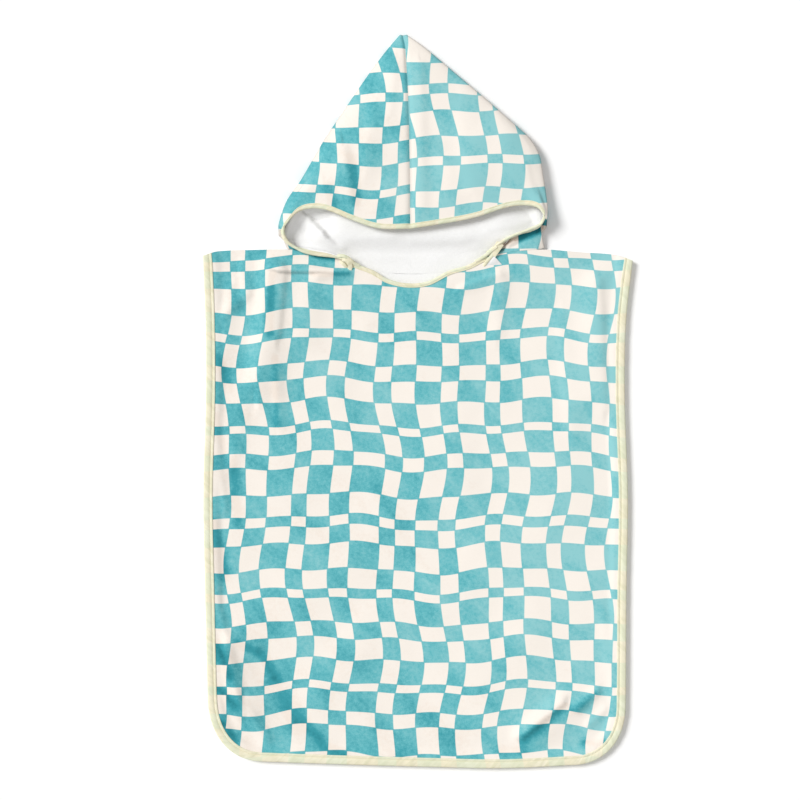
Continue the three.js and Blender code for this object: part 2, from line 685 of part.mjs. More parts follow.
function buildPoncho() {
  const hoodLeft = buildHood('left');
  const hoodRight = buildHood('right');
  const seamStations = (side) => LIP[side].map(({ seamX }) => seamX);
  const frontStations = [
    ...FRONT_TOP_STATIONS, ...seamStations('left'), ...SCOOP_STATIONS,
    ...seamStations('right').reverse(), ...FRONT_TOP_STATIONS_RIGHT,
  ];
  const front = buildPanel(frontTop, frontStations, frontLevel);

  const neckXs = (hood) => hood.neckRow.slice(1).map((point) => point.x);
  const rightNeck = neckXs(hoodRight).reverse();
  const backStations = [
    ...BACK_TOP_STATIONS, ...neckXs(hoodLeft), ...rightNeck.slice(1), ...FRONT_TOP_STATIONS_RIGHT,
  ];
  const back = buildPanel(backTop, backStations, backLevel);

  const hemTape = ({ sheet, frameIds }) => bindingGeometry(
    { points: sheet.points, normals: sheet.normals(), quads: cellsBetween(frameIds[1], frameIds[2]) },
    frameIds[2],
    HEM_TAPE_WIDTH,
  );
  const from = frontStations.indexOf(SCOOP_STATIONS[0]) + 1;
  const to = from + SCOOP_STATIONS.length - 1;
  const neckRing = {
    points: front.sheet.points,
    normals: front.sheet.normals(),
    quads: cellsBetween(front.gridIds[0], front.gridIds[1], from, to),
  };
  const neckPath = front.gridIds[0].slice(from, to + 1);
  const face = faceRing(hoodLeft, hoodRight);

  const poncho = new THREE.Group();
  poncho.add(
    pieceMesh('front_panel', front.sheet.thicken(CLOTH), PRINT),
    pieceMesh('back_panel', back.sheet.thicken(CLOTH), PRINT),
    pieceMesh('hood_left', hoodLeft.sheet.thicken(CLOTH), PRINT),
    pieceMesh('hood_right', hoodRight.sheet.thicken(CLOTH), PRINT),
    pieceMesh('front_binding', hemTape(front), BIAS_TAPE),
    pieceMesh('back_binding', hemTape(back), BIAS_TAPE),
    pieceMesh('neck_binding', bindingGeometry(neckRing, neckPath, NECK_TAPE_WIDTH), BIAS_TAPE),
    pieceMesh('face_binding', bindingGeometry(face.ring, face.path, FACE_TAPE_WIDTH, FACE_GAP), BIAS_TAPE),
  );
  return poncho;
}

export default buildPoncho();
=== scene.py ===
# %% [markdown]
# # A child's hooded bath poncho
#
# The poncho is cut from double-faced towelling: a printed velour outside and white loops inside.
# It lies on its back on a white surface. A maker would cut a front, a back and two hood halves,
# sew them together at the shoulders, round the neck and up the middle of the hood, and then
# bind every free edge with a folded cotton tape.
#
# The frame gives the eight pieces at their real size. Here each one becomes fine cloth.

# %% Load the frame
import math

import bpy
import numpy as np
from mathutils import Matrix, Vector
from mathutils.kdtree import KDTree


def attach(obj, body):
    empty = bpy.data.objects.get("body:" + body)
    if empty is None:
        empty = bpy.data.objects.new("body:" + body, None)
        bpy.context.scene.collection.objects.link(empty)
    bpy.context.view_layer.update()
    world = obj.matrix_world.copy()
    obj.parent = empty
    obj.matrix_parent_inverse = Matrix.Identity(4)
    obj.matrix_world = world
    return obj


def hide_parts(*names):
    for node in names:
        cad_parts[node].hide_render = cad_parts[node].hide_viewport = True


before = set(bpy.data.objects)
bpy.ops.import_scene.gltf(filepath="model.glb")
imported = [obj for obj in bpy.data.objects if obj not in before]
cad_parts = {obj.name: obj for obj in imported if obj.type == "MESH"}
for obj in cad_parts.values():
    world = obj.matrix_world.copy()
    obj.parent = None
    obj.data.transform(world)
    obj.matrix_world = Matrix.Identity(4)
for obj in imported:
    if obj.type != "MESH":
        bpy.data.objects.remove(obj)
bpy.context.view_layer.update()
print("pieces in the frame:", sorted(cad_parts))

# %% [markdown]
# ## Sizes
#
# All sizes are in millimetres, because that is how a pattern cutter thinks. A helper turns them
# into metres when a mesh is made. Each cloth is described by its middle surface, and gets its
# thickness at the end.

# %% Cloth, tape and levels
MM = 0.001
CLOTH = 2.0
HALF_CLOTH = CLOTH / 2
TAPE = 0.8
SEAM_GAP, NECK_GAP = 0.3, 0.06
TAPE_REACH = HALF_CLOTH + SEAM_GAP + TAPE
HEM_TAPE, FACE_TAPE, NECK_TAPE = 11.0, 5.6, 4.4

BACK_LEVEL = HALF_CLOTH
BACK_HEM_RISE = SEAM_GAP + TAPE
FRONT_LEVEL = CLOTH + SEAM_GAP + HALF_CLOTH
FRONT_HEM_RISE = 3 * (SEAM_GAP + TAPE)
RISE_FROM, RISE_TO = 16.0, 27.0
NECK_LIFT, NECK_LIFT_DEPTH = 3.2, 95.0
NECK_LIFT_FULL, NECK_LIFT_NONE = 195.0, 250.0
print("the front lies", FRONT_LEVEL, "mm up, on the back's", CLOTH, "mm")

# %% [markdown]
# ## Curves through a few points
#
# A laid-out garment has no straight edges, but it has few surprises either. A handful of points
# with a smooth curve through them is enough for each edge. `edge_curve` reads one number from
# another, such as the side's place from the level. `through` is the same for points in space,
# and also works on a whole row of points at once, which turns a coarse net into a fine one.

# %% Curve helpers
def smooth(value):
    value = np.clip(value, 0, 1)
    return value * value * (3 - 2 * value)


def fade_in(value, none, full):
    """0 where the value is at none or beyond, 1 at full."""
    return smooth((value - none) / (full - none))


def mix(a, b, share):
    return a + (b - a) * share


def edge_curve(rows):
    at, value = np.array(sorted(rows), float).T
    slope = np.gradient(value, at)
    slope[1:-1] = (value[2:] - value[:-2]) / (at[2:] - at[:-2])

    def curve(x):
        x = np.asarray(x, float)
        i = np.clip(np.searchsorted(at, x, "right") - 1, 0, len(at) - 2)
        span = at[i + 1] - at[i]
        past = (x - at[i]) / span
        f = np.clip(past, 0, 1)
        inside = ((2 * f**3 - 3 * f**2 + 1) * value[i] + (f**3 - 2 * f**2 + f) * slope[i] * span
                  + (3 * f**2 - 2 * f**3) * value[i + 1] + (f**3 - f**2) * slope[i + 1] * span)
        return inside + (past - f) * (value[i + 1] - value[i])

    return curve


def through(points, at):
    points = np.asarray(points, float)
    at = np.atleast_1d(np.asarray(at, float))
    padded = np.concatenate([2 * points[:1] - points[1:2], points, 2 * points[-1:] - points[-2:-1]])
    i = np.clip(np.floor(at).astype(int), 0, len(points) - 2)
    f = (at - i).reshape(-1, *[1] * (points.ndim - 1))
    a, b, c, d = (padded[i + k] for k in range(4))
    return 0.5 * (2 * b + (c - a) * f + (2 * a - 5 * b + 4 * c - d) * f**2 + (3 * b - a - 3 * c + d) * f**3)


def evenly(line, count):
    steps = np.linalg.norm(np.diff(line, axis=0), axis=1)
    along = np.concatenate([[0], np.cumsum(steps)])
    at = np.linspace(0, along[-1], count)
    return np.stack([np.interp(at, along, line[:, k]) for k in range(line.shape[1])], axis=1)


print("halfway between 0, 10 and 40:", through([[0], [10], [40]], [1.5])[0])

# %% [markdown]
# ## The body's outline
#
# The sides are nearly straight and bow a little. The hem sags to the right, and its corners are
# round. The front's top edge runs along the shoulder, up to the neck, and dips in the middle
# where the neckline is scooped. The back's is cut less deep, and the hood is sewn all along it.

# %% Outline tables
SIDE_ROWS = [  # level, left, right
    (204, -301, 301.6), (114, -297.4, 291.5), (9, -296.8, 289.4), (-131, -300.4, 293.8),
    (-271, -297.8, 291.8), (-376, -295.4, 291.2), (-440, -293.5, 290.6),
]
HEM_ROWS = [(-260, -502), (-112, -507.5), (20, -511.2), (122, -513), (260, -506)]
SHOULDER = {"left": 204, "right": 197}
CORNER_WIDTH = {"left": 80, "right": 78}
CORNER_TOP = {"left": -408, "right": -422}
CORNER_ROUNDNESS = 0.9
FRONT_TOP_ROWS = [
    (-302, 203), (-280, 210), (-227, 212), (-186, 212.6), (-150, 211), (-117, 203.5), (-103, 196.5),
    (-64, 182), (-42, 169.5), (-14, 163.5), (14, 166.5), (44, 181.5), (70, 189), (97, 202),
    (134, 209.5), (176, 212.4), (223, 209), (276, 205), (302, 196),
]
BACK_TOP_ROWS = [
    (-302, 203), (-280, 210), (-227, 212), (-186, 212.6), (-140, 209), (-85, 187), (-11, 178.5),
    (70, 186), (130, 208), (176, 212.4), (223, 209), (276, 205), (302, 196),
]
SCOOP = (-106, 97)
side_at = {
    "left": edge_curve([(level, left) for level, left, _ in SIDE_ROWS]),
    "right": edge_curve([(level, right) for level, _, right in SIDE_ROWS]),
}
hem_at, front_top, back_top = (edge_curve(rows) for rows in (HEM_ROWS, FRONT_TOP_ROWS, BACK_TOP_ROWS))


# %% The outline as one path, from the left shoulder round the hem to the right shoulder
def corner_arc(side, angles):
    outwards = -1 if side == "left" else 1
    top = CORNER_TOP[side]
    start = side_at[side](top)
    inner = start - outwards * CORNER_WIDTH[side]
    across = mix(inner, start, np.cos(angles) ** CORNER_ROUNDNESS)
    return np.stack([across, mix(top, hem_at(inner), np.sin(angles) ** CORNER_ROUNDNESS)], axis=1)


def outline_part(side, steps=120):
    levels = np.linspace(SHOULDER[side], CORNER_TOP[side], steps)
    return np.stack([side_at[side](levels), levels], axis=1)[:-1]


def body_outline():
    arc = np.linspace(0, np.pi / 2, 40)
    left_arc, right_arc = corner_arc("left", arc), corner_arc("right", arc)
    across = np.linspace(left_arc[-1, 0], right_arc[-1, 0], 120)[1:-1]
    hem = np.stack([across, hem_at(across)], axis=1)
    return np.concatenate([
        outline_part("left"), left_arc, hem, right_arc[::-1], outline_part("right")[::-1]])


OUTLINE = evenly(body_outline(), 900)
along = np.gradient(OUTLINE, axis=0)
along /= np.linalg.norm(along, axis=1)[:, None]
INWARD = np.stack([-along[:, 1], along[:, 0]], axis=1)
INWARD[[0, -1]] = [[1, 0], [-1, 0]]
outline_length = np.linalg.norm(np.diff(OUTLINE, axis=0), axis=1).sum()
print("the outline is", round(outline_length), "mm long")

# %% [markdown]
# ## Folds
#
# Towelling is thick and soft, so it makes broad low ridges that fade out at both ends, and only
# a few crisp ones, where the tape or a seam pulls. Each ridge is a line with a height and a width
# on either flank: the flank away from the pull is the steeper one. No two are alike. A weak, slow
# waviness over the whole cloth keeps the light from lying dead flat.

# %% Ridge tables: from x, y to x, y, width on the left and right of that line, height
FRONT_RIDGES = [
    (-207, 200, -224, 30, 30, 12, 5.4),
    (-187, 184, -196, 90, 4, 16, 1.6),
    (-196, 183, -96, 181, 9, 2.4, 3.4),
    (-246, 196, -242, 150, 16, 5, 1.8),
    (-276, 118, -238, 152, 10, 7, 1.6),
    (-150, 168, -160, 95, 22, 22, 2.2),
    (245, 160, 238, 10, 24, 24, 2.2),
    (-262, -350, -232, -430, 20, 20, 2.6),
    (160, -470, 215, -425, 22, 22, 2.8),
    (-262, 160, -275, 60, 14, 7, 1.5),
    (-232, 40, -262, -90, 12, 20, 1.2),
    (-140, 176, -96, 180, 3.0, 7, 1.9),
    (-120, 150, -70, 110, 14, 9, 0.9),
    (112, 178, 60, 158, 9, 5, 1.5),
    (118, 170, 112, 96, 9, 15, 1.2),
    (252, 168, 262, -10, 7, 15, 1.5),
    (200, 120, 214, -40, 16, 9, 0.9),
    (-278, -300, -250, -400, 7, 14, 2.6),
    (-270, -352, -246, -438, 5, 8, 2.4),
    (-246, -420, -212, -470, 8, 12, 2.0),
    (-281, -392, -256, -432, 5, 6, 2.2),
    (-262, -330, -226, -344, 8, 6, 2.0),
    (-284, -60, -270, -150, 6, 9, 1.8),
    (-198, 40, -195, -30, 10, 6, 1.4),
    (146, -466, 202, -420, 10, 5, 3.8),
    (222, -430, 250, -406, 7, 5, 2.6),
    (238, -452, 262, -430, 5, 6, 1.6),
    (262, -300, 276, -400, 8, 12, 1.3),
    (-60, -300, -150, -420, 30, 22, 0.8),
    (40, -60, 110, -240, 34, 26, 0.7),
    (-120, 30, -60, -150, 30, 38, 0.7),
    (180, -180, 150, -330, 26, 34, 0.8),
]


def ridge_height(x, y, ridges):
    total = np.zeros(np.shape(x))
    for from_x, from_y, to_x, to_y, left, right, height in ridges:
        dx, dy = to_x - from_x, to_y - from_y
        length = math.hypot(dx, dy)
        f = np.clip(((x - from_x) * dx + (y - from_y) * dy) / length**2, 0, 1)
        off_x, off_y = x - from_x - f * dx, y - from_y - f * dy
        flank = np.where(dx * off_y - dy * off_x > 0, left, right)
        total = total + height * np.exp(-(off_x**2 + off_y**2) / flank**2)
    return total


def slow_waves(x, y):
    return (0.7 * np.sin(x / 31 + 1.9 * np.sin(y / 83)) * np.sin(y / 47 + 0.8)
            + 0.24 * np.sin(x / 13.7 + y / 19.3 + 1.4 * np.sin(x / 57)) * np.sin(y / 23 - x / 41)
            + 0.12 * np.sin(y / 8.1 + 2.2 * np.sin(x / 29)) * np.sin(x / 11.3))


print("highest ridge:", max(row[-1] for row in FRONT_RIDGES), "mm")

# %% [markdown]
# ## Levels of the two body panels
#
# The back lies flat on the surface. The front lies on it. Near the bound edges both climb over
# the tape's folded legs, and round the neck the front is lifted by the hood's seam. The tape
# pulls the edge together a little as it is sewn on, so the edge has fine slanting puckers.

# %% Level functions
FOLD_BOOST, FOLD_START = 1.25, 26.0
LOOSE = 0.7
PUCKER, PUCKER_REACH = 0.22, 34.0
FAR_FROM_EDGE = 200.0
outline_tree = KDTree(len(OUTLINE))
for number, (px, py) in enumerate(OUTLINE):
    outline_tree.insert((px, py, 0), number)
outline_tree.balance()


def edge_distance(x, y):
    flat = np.array([outline_tree.find((a, b, 0))[2] for a, b in zip(np.ravel(x), np.ravel(y))])
    return flat.reshape(np.shape(x))


def puckers(x, y, edge):
    near = fade_in(edge, PUCKER_REACH, 0)
    slant = np.sin((x + 0.62 * y) / 3.3 + 1.7 * np.sin(x / 21) + 1.3 * np.sin(y / 27))
    patchy = 0.55 + 0.45 * np.sin(x / 37 + 1.1) * np.sin(y / 43 + 0.4)
    return PUCKER * slant * near * patchy


def front_level(x, y, edge):
    rise = fade_in(edge, RISE_TO, RISE_FROM)
    depth = np.maximum(0, front_top(x) - y)
    side_fade = fade_in(np.abs(x), NECK_LIFT_NONE, NECK_LIFT_FULL)
    lift = NECK_LIFT * smooth(1 - depth / NECK_LIFT_DEPTH) * side_fade
    folds = FOLD_BOOST * ridge_height(x, y, FRONT_RIDGES) * smooth(depth / FOLD_START)
    loose = LOOSE + folds + slow_waves(x, y)
    return FRONT_LEVEL + FRONT_HEM_RISE * rise + lift + loose * (1 - rise) + puckers(x, y, edge)


def back_level(x, y, edge):
    rise = fade_in(edge, RISE_TO, RISE_FROM)
    return BACK_LEVEL + BACK_HEM_RISE * rise + 0 * x


front_middle = float(front_level(0.0, -200.0, FAR_FROM_EDGE))
print("front at its middle:", round(front_middle, 2), "mm")

# %% [markdown]
# ## From a net of points to cloth
#
# A sheet starts as Blender's grid, one vertex for each point of the net, and its vertices are
# moved to their places. Its UV map holds the place of each point on the flat cut, in metres, so
# that print and weave follow the cloth round every fold. Nets that share an edge are joined and
# their doubles merged. The Solidify modifier then gives the sheet its two faces.

# %% Sheet helpers
SEW_REACH = 0.02


def deselect():
    if bpy.context.object and bpy.context.object.mode != "OBJECT":
        bpy.ops.object.mode_set(mode="OBJECT")
    bpy.ops.object.select_all(action="DESELECT")


def make_active(piece):
    deselect()
    piece.select_set(True)
    bpy.context.view_layer.objects.active = piece


def net(name, points, cut, grain=None):
    rows, columns = points.shape[:2]
    deselect()
    bpy.ops.mesh.primitive_grid_add(x_subdivisions=columns - 1, y_subdivisions=rows - 1, size=1)
    piece = bpy.context.object
    piece.name = piece.data.name = name
    mesh = piece.data
    mesh.vertices.foreach_set("co", (points.reshape(-1, 3) * MM).ravel())
    corner_vertex = np.zeros(len(mesh.loops), np.int32)
    mesh.loops.foreach_get("vertex_index", corner_vertex)
    mesh.uv_layers[0].name = "cut"
    mesh.uv_layers["cut"].data.foreach_set("uv", (cut.reshape(-1, 2)[corner_vertex] * MM).ravel())
    if grain is not None:
        layer = mesh.uv_layers.new(name="grain")
        layer.data.foreach_set("uv", (grain.reshape(-1, 2)[corner_vertex] * MM).ravel())
    mesh.update()
    return piece


def join_to(piece, extras):
    make_active(piece)
    for extra in extras:
        extra.select_set(True)
    bpy.ops.object.join()


def sew(pieces):
    join_to(pieces[0], pieces[1:])
    bpy.ops.object.mode_set(mode="EDIT")
    bpy.ops.mesh.select_all(action="SELECT")
    bpy.ops.mesh.remove_doubles(threshold=SEW_REACH * MM)
    bpy.ops.mesh.normals_make_consistent(inside=False)
    bpy.ops.object.mode_set(mode="OBJECT")
    return pieces[0]


def print_side_up(piece, near):
    """Turns the sheet over if its face nearest that point looks down."""
    mesh = piece.data
    spot = Vector(near) * MM
    face = min(mesh.polygons, key=lambda p: (p.center - spot).length)
    if face.normal.z < 0:
        mesh.flip_normals()


def thicken(piece, thickness=CLOTH):
    make_active(piece)
    for _ in ("outside", "inside"):
        piece.data.materials.append(None)
    wall = piece.modifiers.new("wall", "SOLIDIFY")
    wall.thickness = thickness * MM
    wall.offset = 0
    wall.material_offset = 1
    wall.material_offset_rim = 1
    bpy.ops.object.modifier_apply(modifier=wall.name)
    bpy.ops.object.shade_smooth_by_angle(angle=math.radians(60))
    print(piece.name, "has", len(piece.data.polygons), "faces")


# %% [markdown]
# ## The front and back panels
#
# Each panel is one net between four edges: the two sides, the hem and the top. Half of each
# round corner belongs to the side and half to the hem, so the net has no pinched corner. A point
# inside is blended from the four edges, which is how a soap film would span them. The rows lie
# closer near the shoulders, where the small folds are.

# %% Panel builder
CLOSER_AT_TOP = 1.35


def panel_edges(inset):
    """The outline moved inwards, and parted at the middle of each round corner."""
    edge = OUTLINE + inset * INWARD
    half = len(OUTLINE) // 2
    heading = np.arctan2(INWARD[:, 0], INWARD[:, 1])
    left_end = np.argmin(np.abs(heading[:half] - np.pi / 4))
    right_start = half + np.argmin(np.abs(heading[half:] + np.pi / 4))
    return edge[:left_end + 1], edge[left_end:right_start + 1], edge[right_start:][::-1]


def panel_net(top_line, level, columns, rows):
    left, hem, right = panel_edges(TAPE_REACH)
    down = np.linspace(0, 1, rows) ** CLOSER_AT_TOP
    left, right = (through(evenly(side, 400), down * 399) for side in (left, right))
    across = np.linspace(left[0, 0], right[0, 0], columns)
    top = np.stack([across, top_line(across) - NECK_GAP / 2], axis=1)
    left[0], right[0] = top[0], top[-1]
    share = (across - across[0]) / (across[-1] - across[0])
    hem_length = np.linspace(0, 1, len(hem))
    hem = np.stack([np.interp(share, hem_length, evenly(hem, len(hem))[:, k]) for k in (0, 1)], axis=1)
    hem[0], hem[-1] = left[-1], right[-1]
    s, t = share[None, :, None], down[:, None, None]
    flat = (mix(left[:, None], right[:, None], s) + mix(top[None], hem[None], t)
            - mix(mix(top[0], top[-1], s), mix(hem[0], hem[-1], s), t))
    x, y = flat[..., 0], flat[..., 1]
    edge = edge_distance(x, y)
    return np.stack([x, y, level(x, y, edge)], axis=2), flat


front_points, front_flat = panel_net(front_top, front_level, 181, 221)
front_panel = net("front_cloth", front_points, front_flat)
print_side_up(front_panel, (0, -200, FRONT_LEVEL))
thicken(front_panel)

BACK_CUT_SHIFT = (137, 61)
back_points, back_flat = panel_net(back_top, back_level, 101, 121)
back_panel = net("back_cloth", back_points, back_flat * (-1, 1) + BACK_CUT_SHIFT)
print_side_up(back_panel, (0, -200, BACK_LEVEL))
back_panel.data.flip_normals()
thicken(back_panel)

# %% [markdown]
# ## The hood
#
# The hood is two halves, sewn together from the forehead over the peak and down the back of the
# head. Laid flat, each half is a front layer and a back layer with a soft side fold between
# them. It is built in sections from the peak down. A section starts at the centre seam on top,
# at 0 degrees, goes out to the side fold, at 90, and comes back underneath to 180.

# %% Hood tables
CENTRE = -11.0
HOOD_ROWS = [  # seam x, seam y, left side fold, right side fold, puff of the seam, back seam y
    (-21, 511.5, (-25, 512.2, 3.2), (-16, 512.2, 3.2), 5.6, 511.5),
    (-18, 496, (-43, 491, 3.6), (8, 495, 3.6), 8, 494),
    (-16, 468, (-67, 459, 4.2), (52, 458, 4.2), 11, 464),
    (-14, 437, (-89, 427, 5.0), (92, 424, 5.2), 14, 434),
    (-13, 404, (-109, 397, 6.0), (126, 394, 6.6), 17, 404),
    (-12, 370, (-129, 367, 7.2), (155, 367, 8.2), 20, 372),
    (-11.5, 338, (-147, 336, 8.6), (168.5, 344, 10), 20.5, 340),
    (-11, 306, (-164, 307, 9.6), (174, 314, 11.5), 21, 308),
    (-11, 274, (-183, 279, 10.4), (178, 285, 12.8), 21, 278),
    (-11, 242, (-193.8, 247, 11.5), (178.5, 262, 13.2), 20.5, 249),
    (-11, 242, (-191, 237, 9.5), (172.5, 246, 11), 20.5, 226),
    (-11, 242, (-187, 226, 6.5), (172.5, 230, 8), 20.5, 202),
    (-11, 242, (-182.5, 214.2, 3.8), (176.5, 214.4, 3.8), 20.5, 179),
]
MOUTH_ROW, LAST_ROW = 9, 12
RIM_DEGREES = 75
BOW_START_ROW = 3.5
FRONT_DOME, BACK_FLATNESS = 0.5, 0.22
FOREHEAD_ROWS = {
    "left": [(-11, 242), (-55, 242.5), (-91, 254), (-128, 268.5), (-152, 270), (-170, 263), (-187, 243)],
    "right": [(-11, 242), (26, 247.5), (78, 256.8), (128, 272), (154, 274.6), (169, 270), (176.5, 257)],
}
HOOD_DEGREES = [0, 13, 26, 39, 51, 62, 70, 75, 90, 105, 110, 118, 129, 141, 154, 167, 180]

# %% [markdown]
# Between the opening's lower lip and the neck seam runs a short strip of each half. On the left
# the lip leans out over the shoulder and shows the white inside. On the right it stands up and
# shows the print.

# %% Lip tables: lip point, seam x, and where needed the points between
LEFT_LIP = [
    ((-187, 243, 19), -180.5, (-190, 239, 14.5), (-184.5, 226, 9.5)),
    ((-187.4, 236, 18.6), -178, (-188.5, 231.5, 13.8), (-181.5, 218, 9.5)),
    ((-185, 228, 17.8), -174, (-184, 222.5, 13.6), None),
    ((-178, 219, 16.4), -171, None, None),
    ((-160, 208.8, 14.2), -155, None, None),
    ((-141, 204.4, 13), -136, None, None),
    ((-121, 202.4, 12.4), -119, None, None),
    ((-105, 199.6, 11.8), -103, None, None),
]
RIGHT_LIP = [
    ((176.5, 257, 22), 165), ((170, 247, 20), 160), ((158, 241.5, 18), 152), ((146, 236.5, 16), 142),
    ((133, 231.5, 15), 129), ((117, 223, 13.5), 115), ((96, 208, 10.5), 96),
]
SEAM_STAND = 3.5
LIP_MARGIN, MOST_OF_LIP = 7, 0.6
UNDER_LIP, LOW_SHARE, FOOT_RISE = 0.62, 0.6, 0.12
LIP_CREASES = {
    "left": [],
    "right": [(127, 228, 110, 203, 3.2, 2.6, -4.2), (150, 226, 130, 214, 5, 4, -1.2)],
}


def front_edge_level(x):
    return float(front_level(x, front_top(x), FAR_FROM_EDGE))


def left_strip():
    columns = []
    for lip, seam_x, roll, low in LEFT_LIP:
        lip = np.array(lip, float)
        standing = float(front_top(seam_x)) + SEAM_GAP + HALF_CLOTH
        level = front_edge_level(seam_x)
        foot = np.array([seam_x, standing, level - HALF_CLOTH])
        head = np.array([seam_x, standing, level + SEAM_STAND])
        share = min(MOST_OF_LIP, LIP_MARGIN / np.linalg.norm(head - lip))
        columns.append([lip, roll or mix(lip, head, share), low or head, foot])
    return np.array(columns, float).transpose(1, 0, 2)


def right_strip():
    lip = np.array([row[0] for row in RIGHT_LIP], float)
    seam_x = np.array([row[1] for row in RIGHT_LIP], float)
    seam = np.stack([seam_x, front_top(seam_x) + NECK_GAP / 2,
                     [front_edge_level(x) for x in seam_x]], axis=1)
    drop = (lip - seam)[:, 2]
    # Towards the corner the cloth tucks back, and inwards, under the lip
    back_off = np.interp(lip[:, 0], [98, 146, 174], [1.0, 2.0, 12.0])
    side_off = np.interp(lip[:, 0], [155, 176], [0, 8])
    under = lip - np.stack([side_off, back_off, UNDER_LIP * drop], axis=1)
    low = mix(lip, seam, LOW_SHARE)
    low[:, 2] = seam[:, 2] + FOOT_RISE * drop
    return np.array([lip, under, low, seam])


STRIPS = {"left": left_strip(), "right": right_strip()}
print("lip strips:", {side: strip.shape for side, strip in STRIPS.items()})

# %% [markdown]
# The print must not stretch where the cloth turns round the side fold. So the flat place of a
# point across the hood is the length of cloth from the centre seam to it, and down the hood it
# is the level where it lies. The two halves are cut from different places of the fabric, and
# the checks don't meet at the seam.

# %% Hood folds, as for the body: from x, y to x, y, two widths, height
HOOD_RIDGES = {
    "left": [
        (-104, 352, -92, 268, 8, 20, 2.2), (-60, 420, -74, 330, 16, 9, 1.2),
        (-128, 300, -120, 276, 8, 12, 2.0), (-32, 470, -40, 400, 7, 11, 0.9),
        (-150, 300, -166, 272, 9, 6, 1.3), (-40, 300, -60, 262, 18, 12, 0.9),
    ],
    "right": [
        (2, 470, 6, 262, 9, 13, 1.9), (60, 410, 74, 300, 20, 12, 1.0),
        (120, 380, 136, 300, 14, 20, 1.1), (150, 330, 160, 280, 7, 12, 1.3),
        (40, 330, 52, 262, 12, 18, 0.8),
    ],
}
SEAM_DIP, SEAM_DIP_REACH = 2.2, 2.8
HOOD_WAVES = 1.4
FRONT_FOLD_DEGREES, BACK_FOLD_DEGREES = (84, 60), (98, 112)

# %% [markdown]
# The opening shows the white inside of the hood's back layer, which isn't flat either. At the
# left a side wall leans in beyond a crooked valley, and a crisp ridge runs from there down to the
# neck. The rest is puffed up softly, with a few faint folds. The wall is a ramp that starts at a
# line through a few points, and the folds are ridges again.

# %% Folds of the white inside
WALL_LINES = {
    "left": [(-186, 219), (-175.6, 231.7), (-155.5, 257.5), (-100, 263)],
    "right": [(100, 268), (150, 262), (170, 238)],
}
WALL_HEIGHT = {"left": 10.0, "right": 6.5}
WALL_WIDTH = 15
WALL_FADE = (300, 270)
BACK_PUFF, PUFF_REACH, PUFF_FLANK = 8.5, {"left": 150, "right": 180}, 60
PUFF_FOOT, PUFF_TOP = (206, 236), (420, 330)
INSIDE_RIDGES = {
    "left": [
        (-154, 257, -134, 236, 3.0, 14, 4.8), (-134, 236, -111, 212, 3.0, 12, 4.0),
        (-107, 213, -103, 204, 5, 5, 5.0), (-146, 254, -122, 257, 3, 4, -2.6),
        (-152, 232, -140, 222, 4, 6, 1.2), (-163, 226, -150, 216, 4, 5, 1.0),
        (-100, 226, -36, 232, 5, 9, 0.8), (-90, 206, -30, 200, 12, 6, 0.7),
    ],
    "right": [
        (-30, 223, 66, 224, 9, 4, 0.9), (20, 205, 84, 214, 7, 11, 0.7), (96, 240, 150, 250, 9, 5, 1.2),
    ],
}


def inside_level(side, x, y):
    """How far the hood's back layer is lifted where the opening shows it."""
    off = np.full(np.shape(x), 1e3)
    for (ax, ay), (bx, by) in zip(WALL_LINES[side], WALL_LINES[side][1:]):
        dx, dy = bx - ax, by - ay
        f = np.clip(((x - ax) * dx + (y - ay) * dy) / (dx**2 + dy**2), 0, 1)
        away = np.hypot(x - ax - f * dx, y - ay - f * dy)
        signed = away * np.sign(dx * (y - ay) - dy * (x - ax))
        off = np.where(away < np.abs(off), signed, off)
    wall = WALL_HEIGHT[side] * np.clip(off / WALL_WIDTH, 0, 1) * fade_in(y, *WALL_FADE)
    puff = BACK_PUFF * fade_in(np.abs(x - CENTRE), PUFF_REACH[side], PUFF_REACH[side] - PUFF_FLANK)
    puff = puff * fade_in(y, *PUFF_FOOT) * fade_in(y, *PUFF_TOP)
    return np.maximum(wall, puff) + ridge_height(x, y, INSIDE_RIDGES[side])


# %% The hood's sections
def hood_section_curves(side):
    rows = HOOD_ROWS[:MOUTH_ROW + 1]
    column = 2 if side == "left" else 3
    return {
        "seam": [(row[0], row[1], row[4]) for row in rows],
        "fold": [row[column] for row in HOOD_ROWS],
        "back": [(CENTRE, row[5], BACK_LEVEL) for row in HOOD_ROWS],
        "forehead": edge_curve(FOREHEAD_ROWS[side]),
        "corner": FOREHEAD_ROWS[side][-1][0],
        "outwards": -1 if side == "left" else 1,
    }


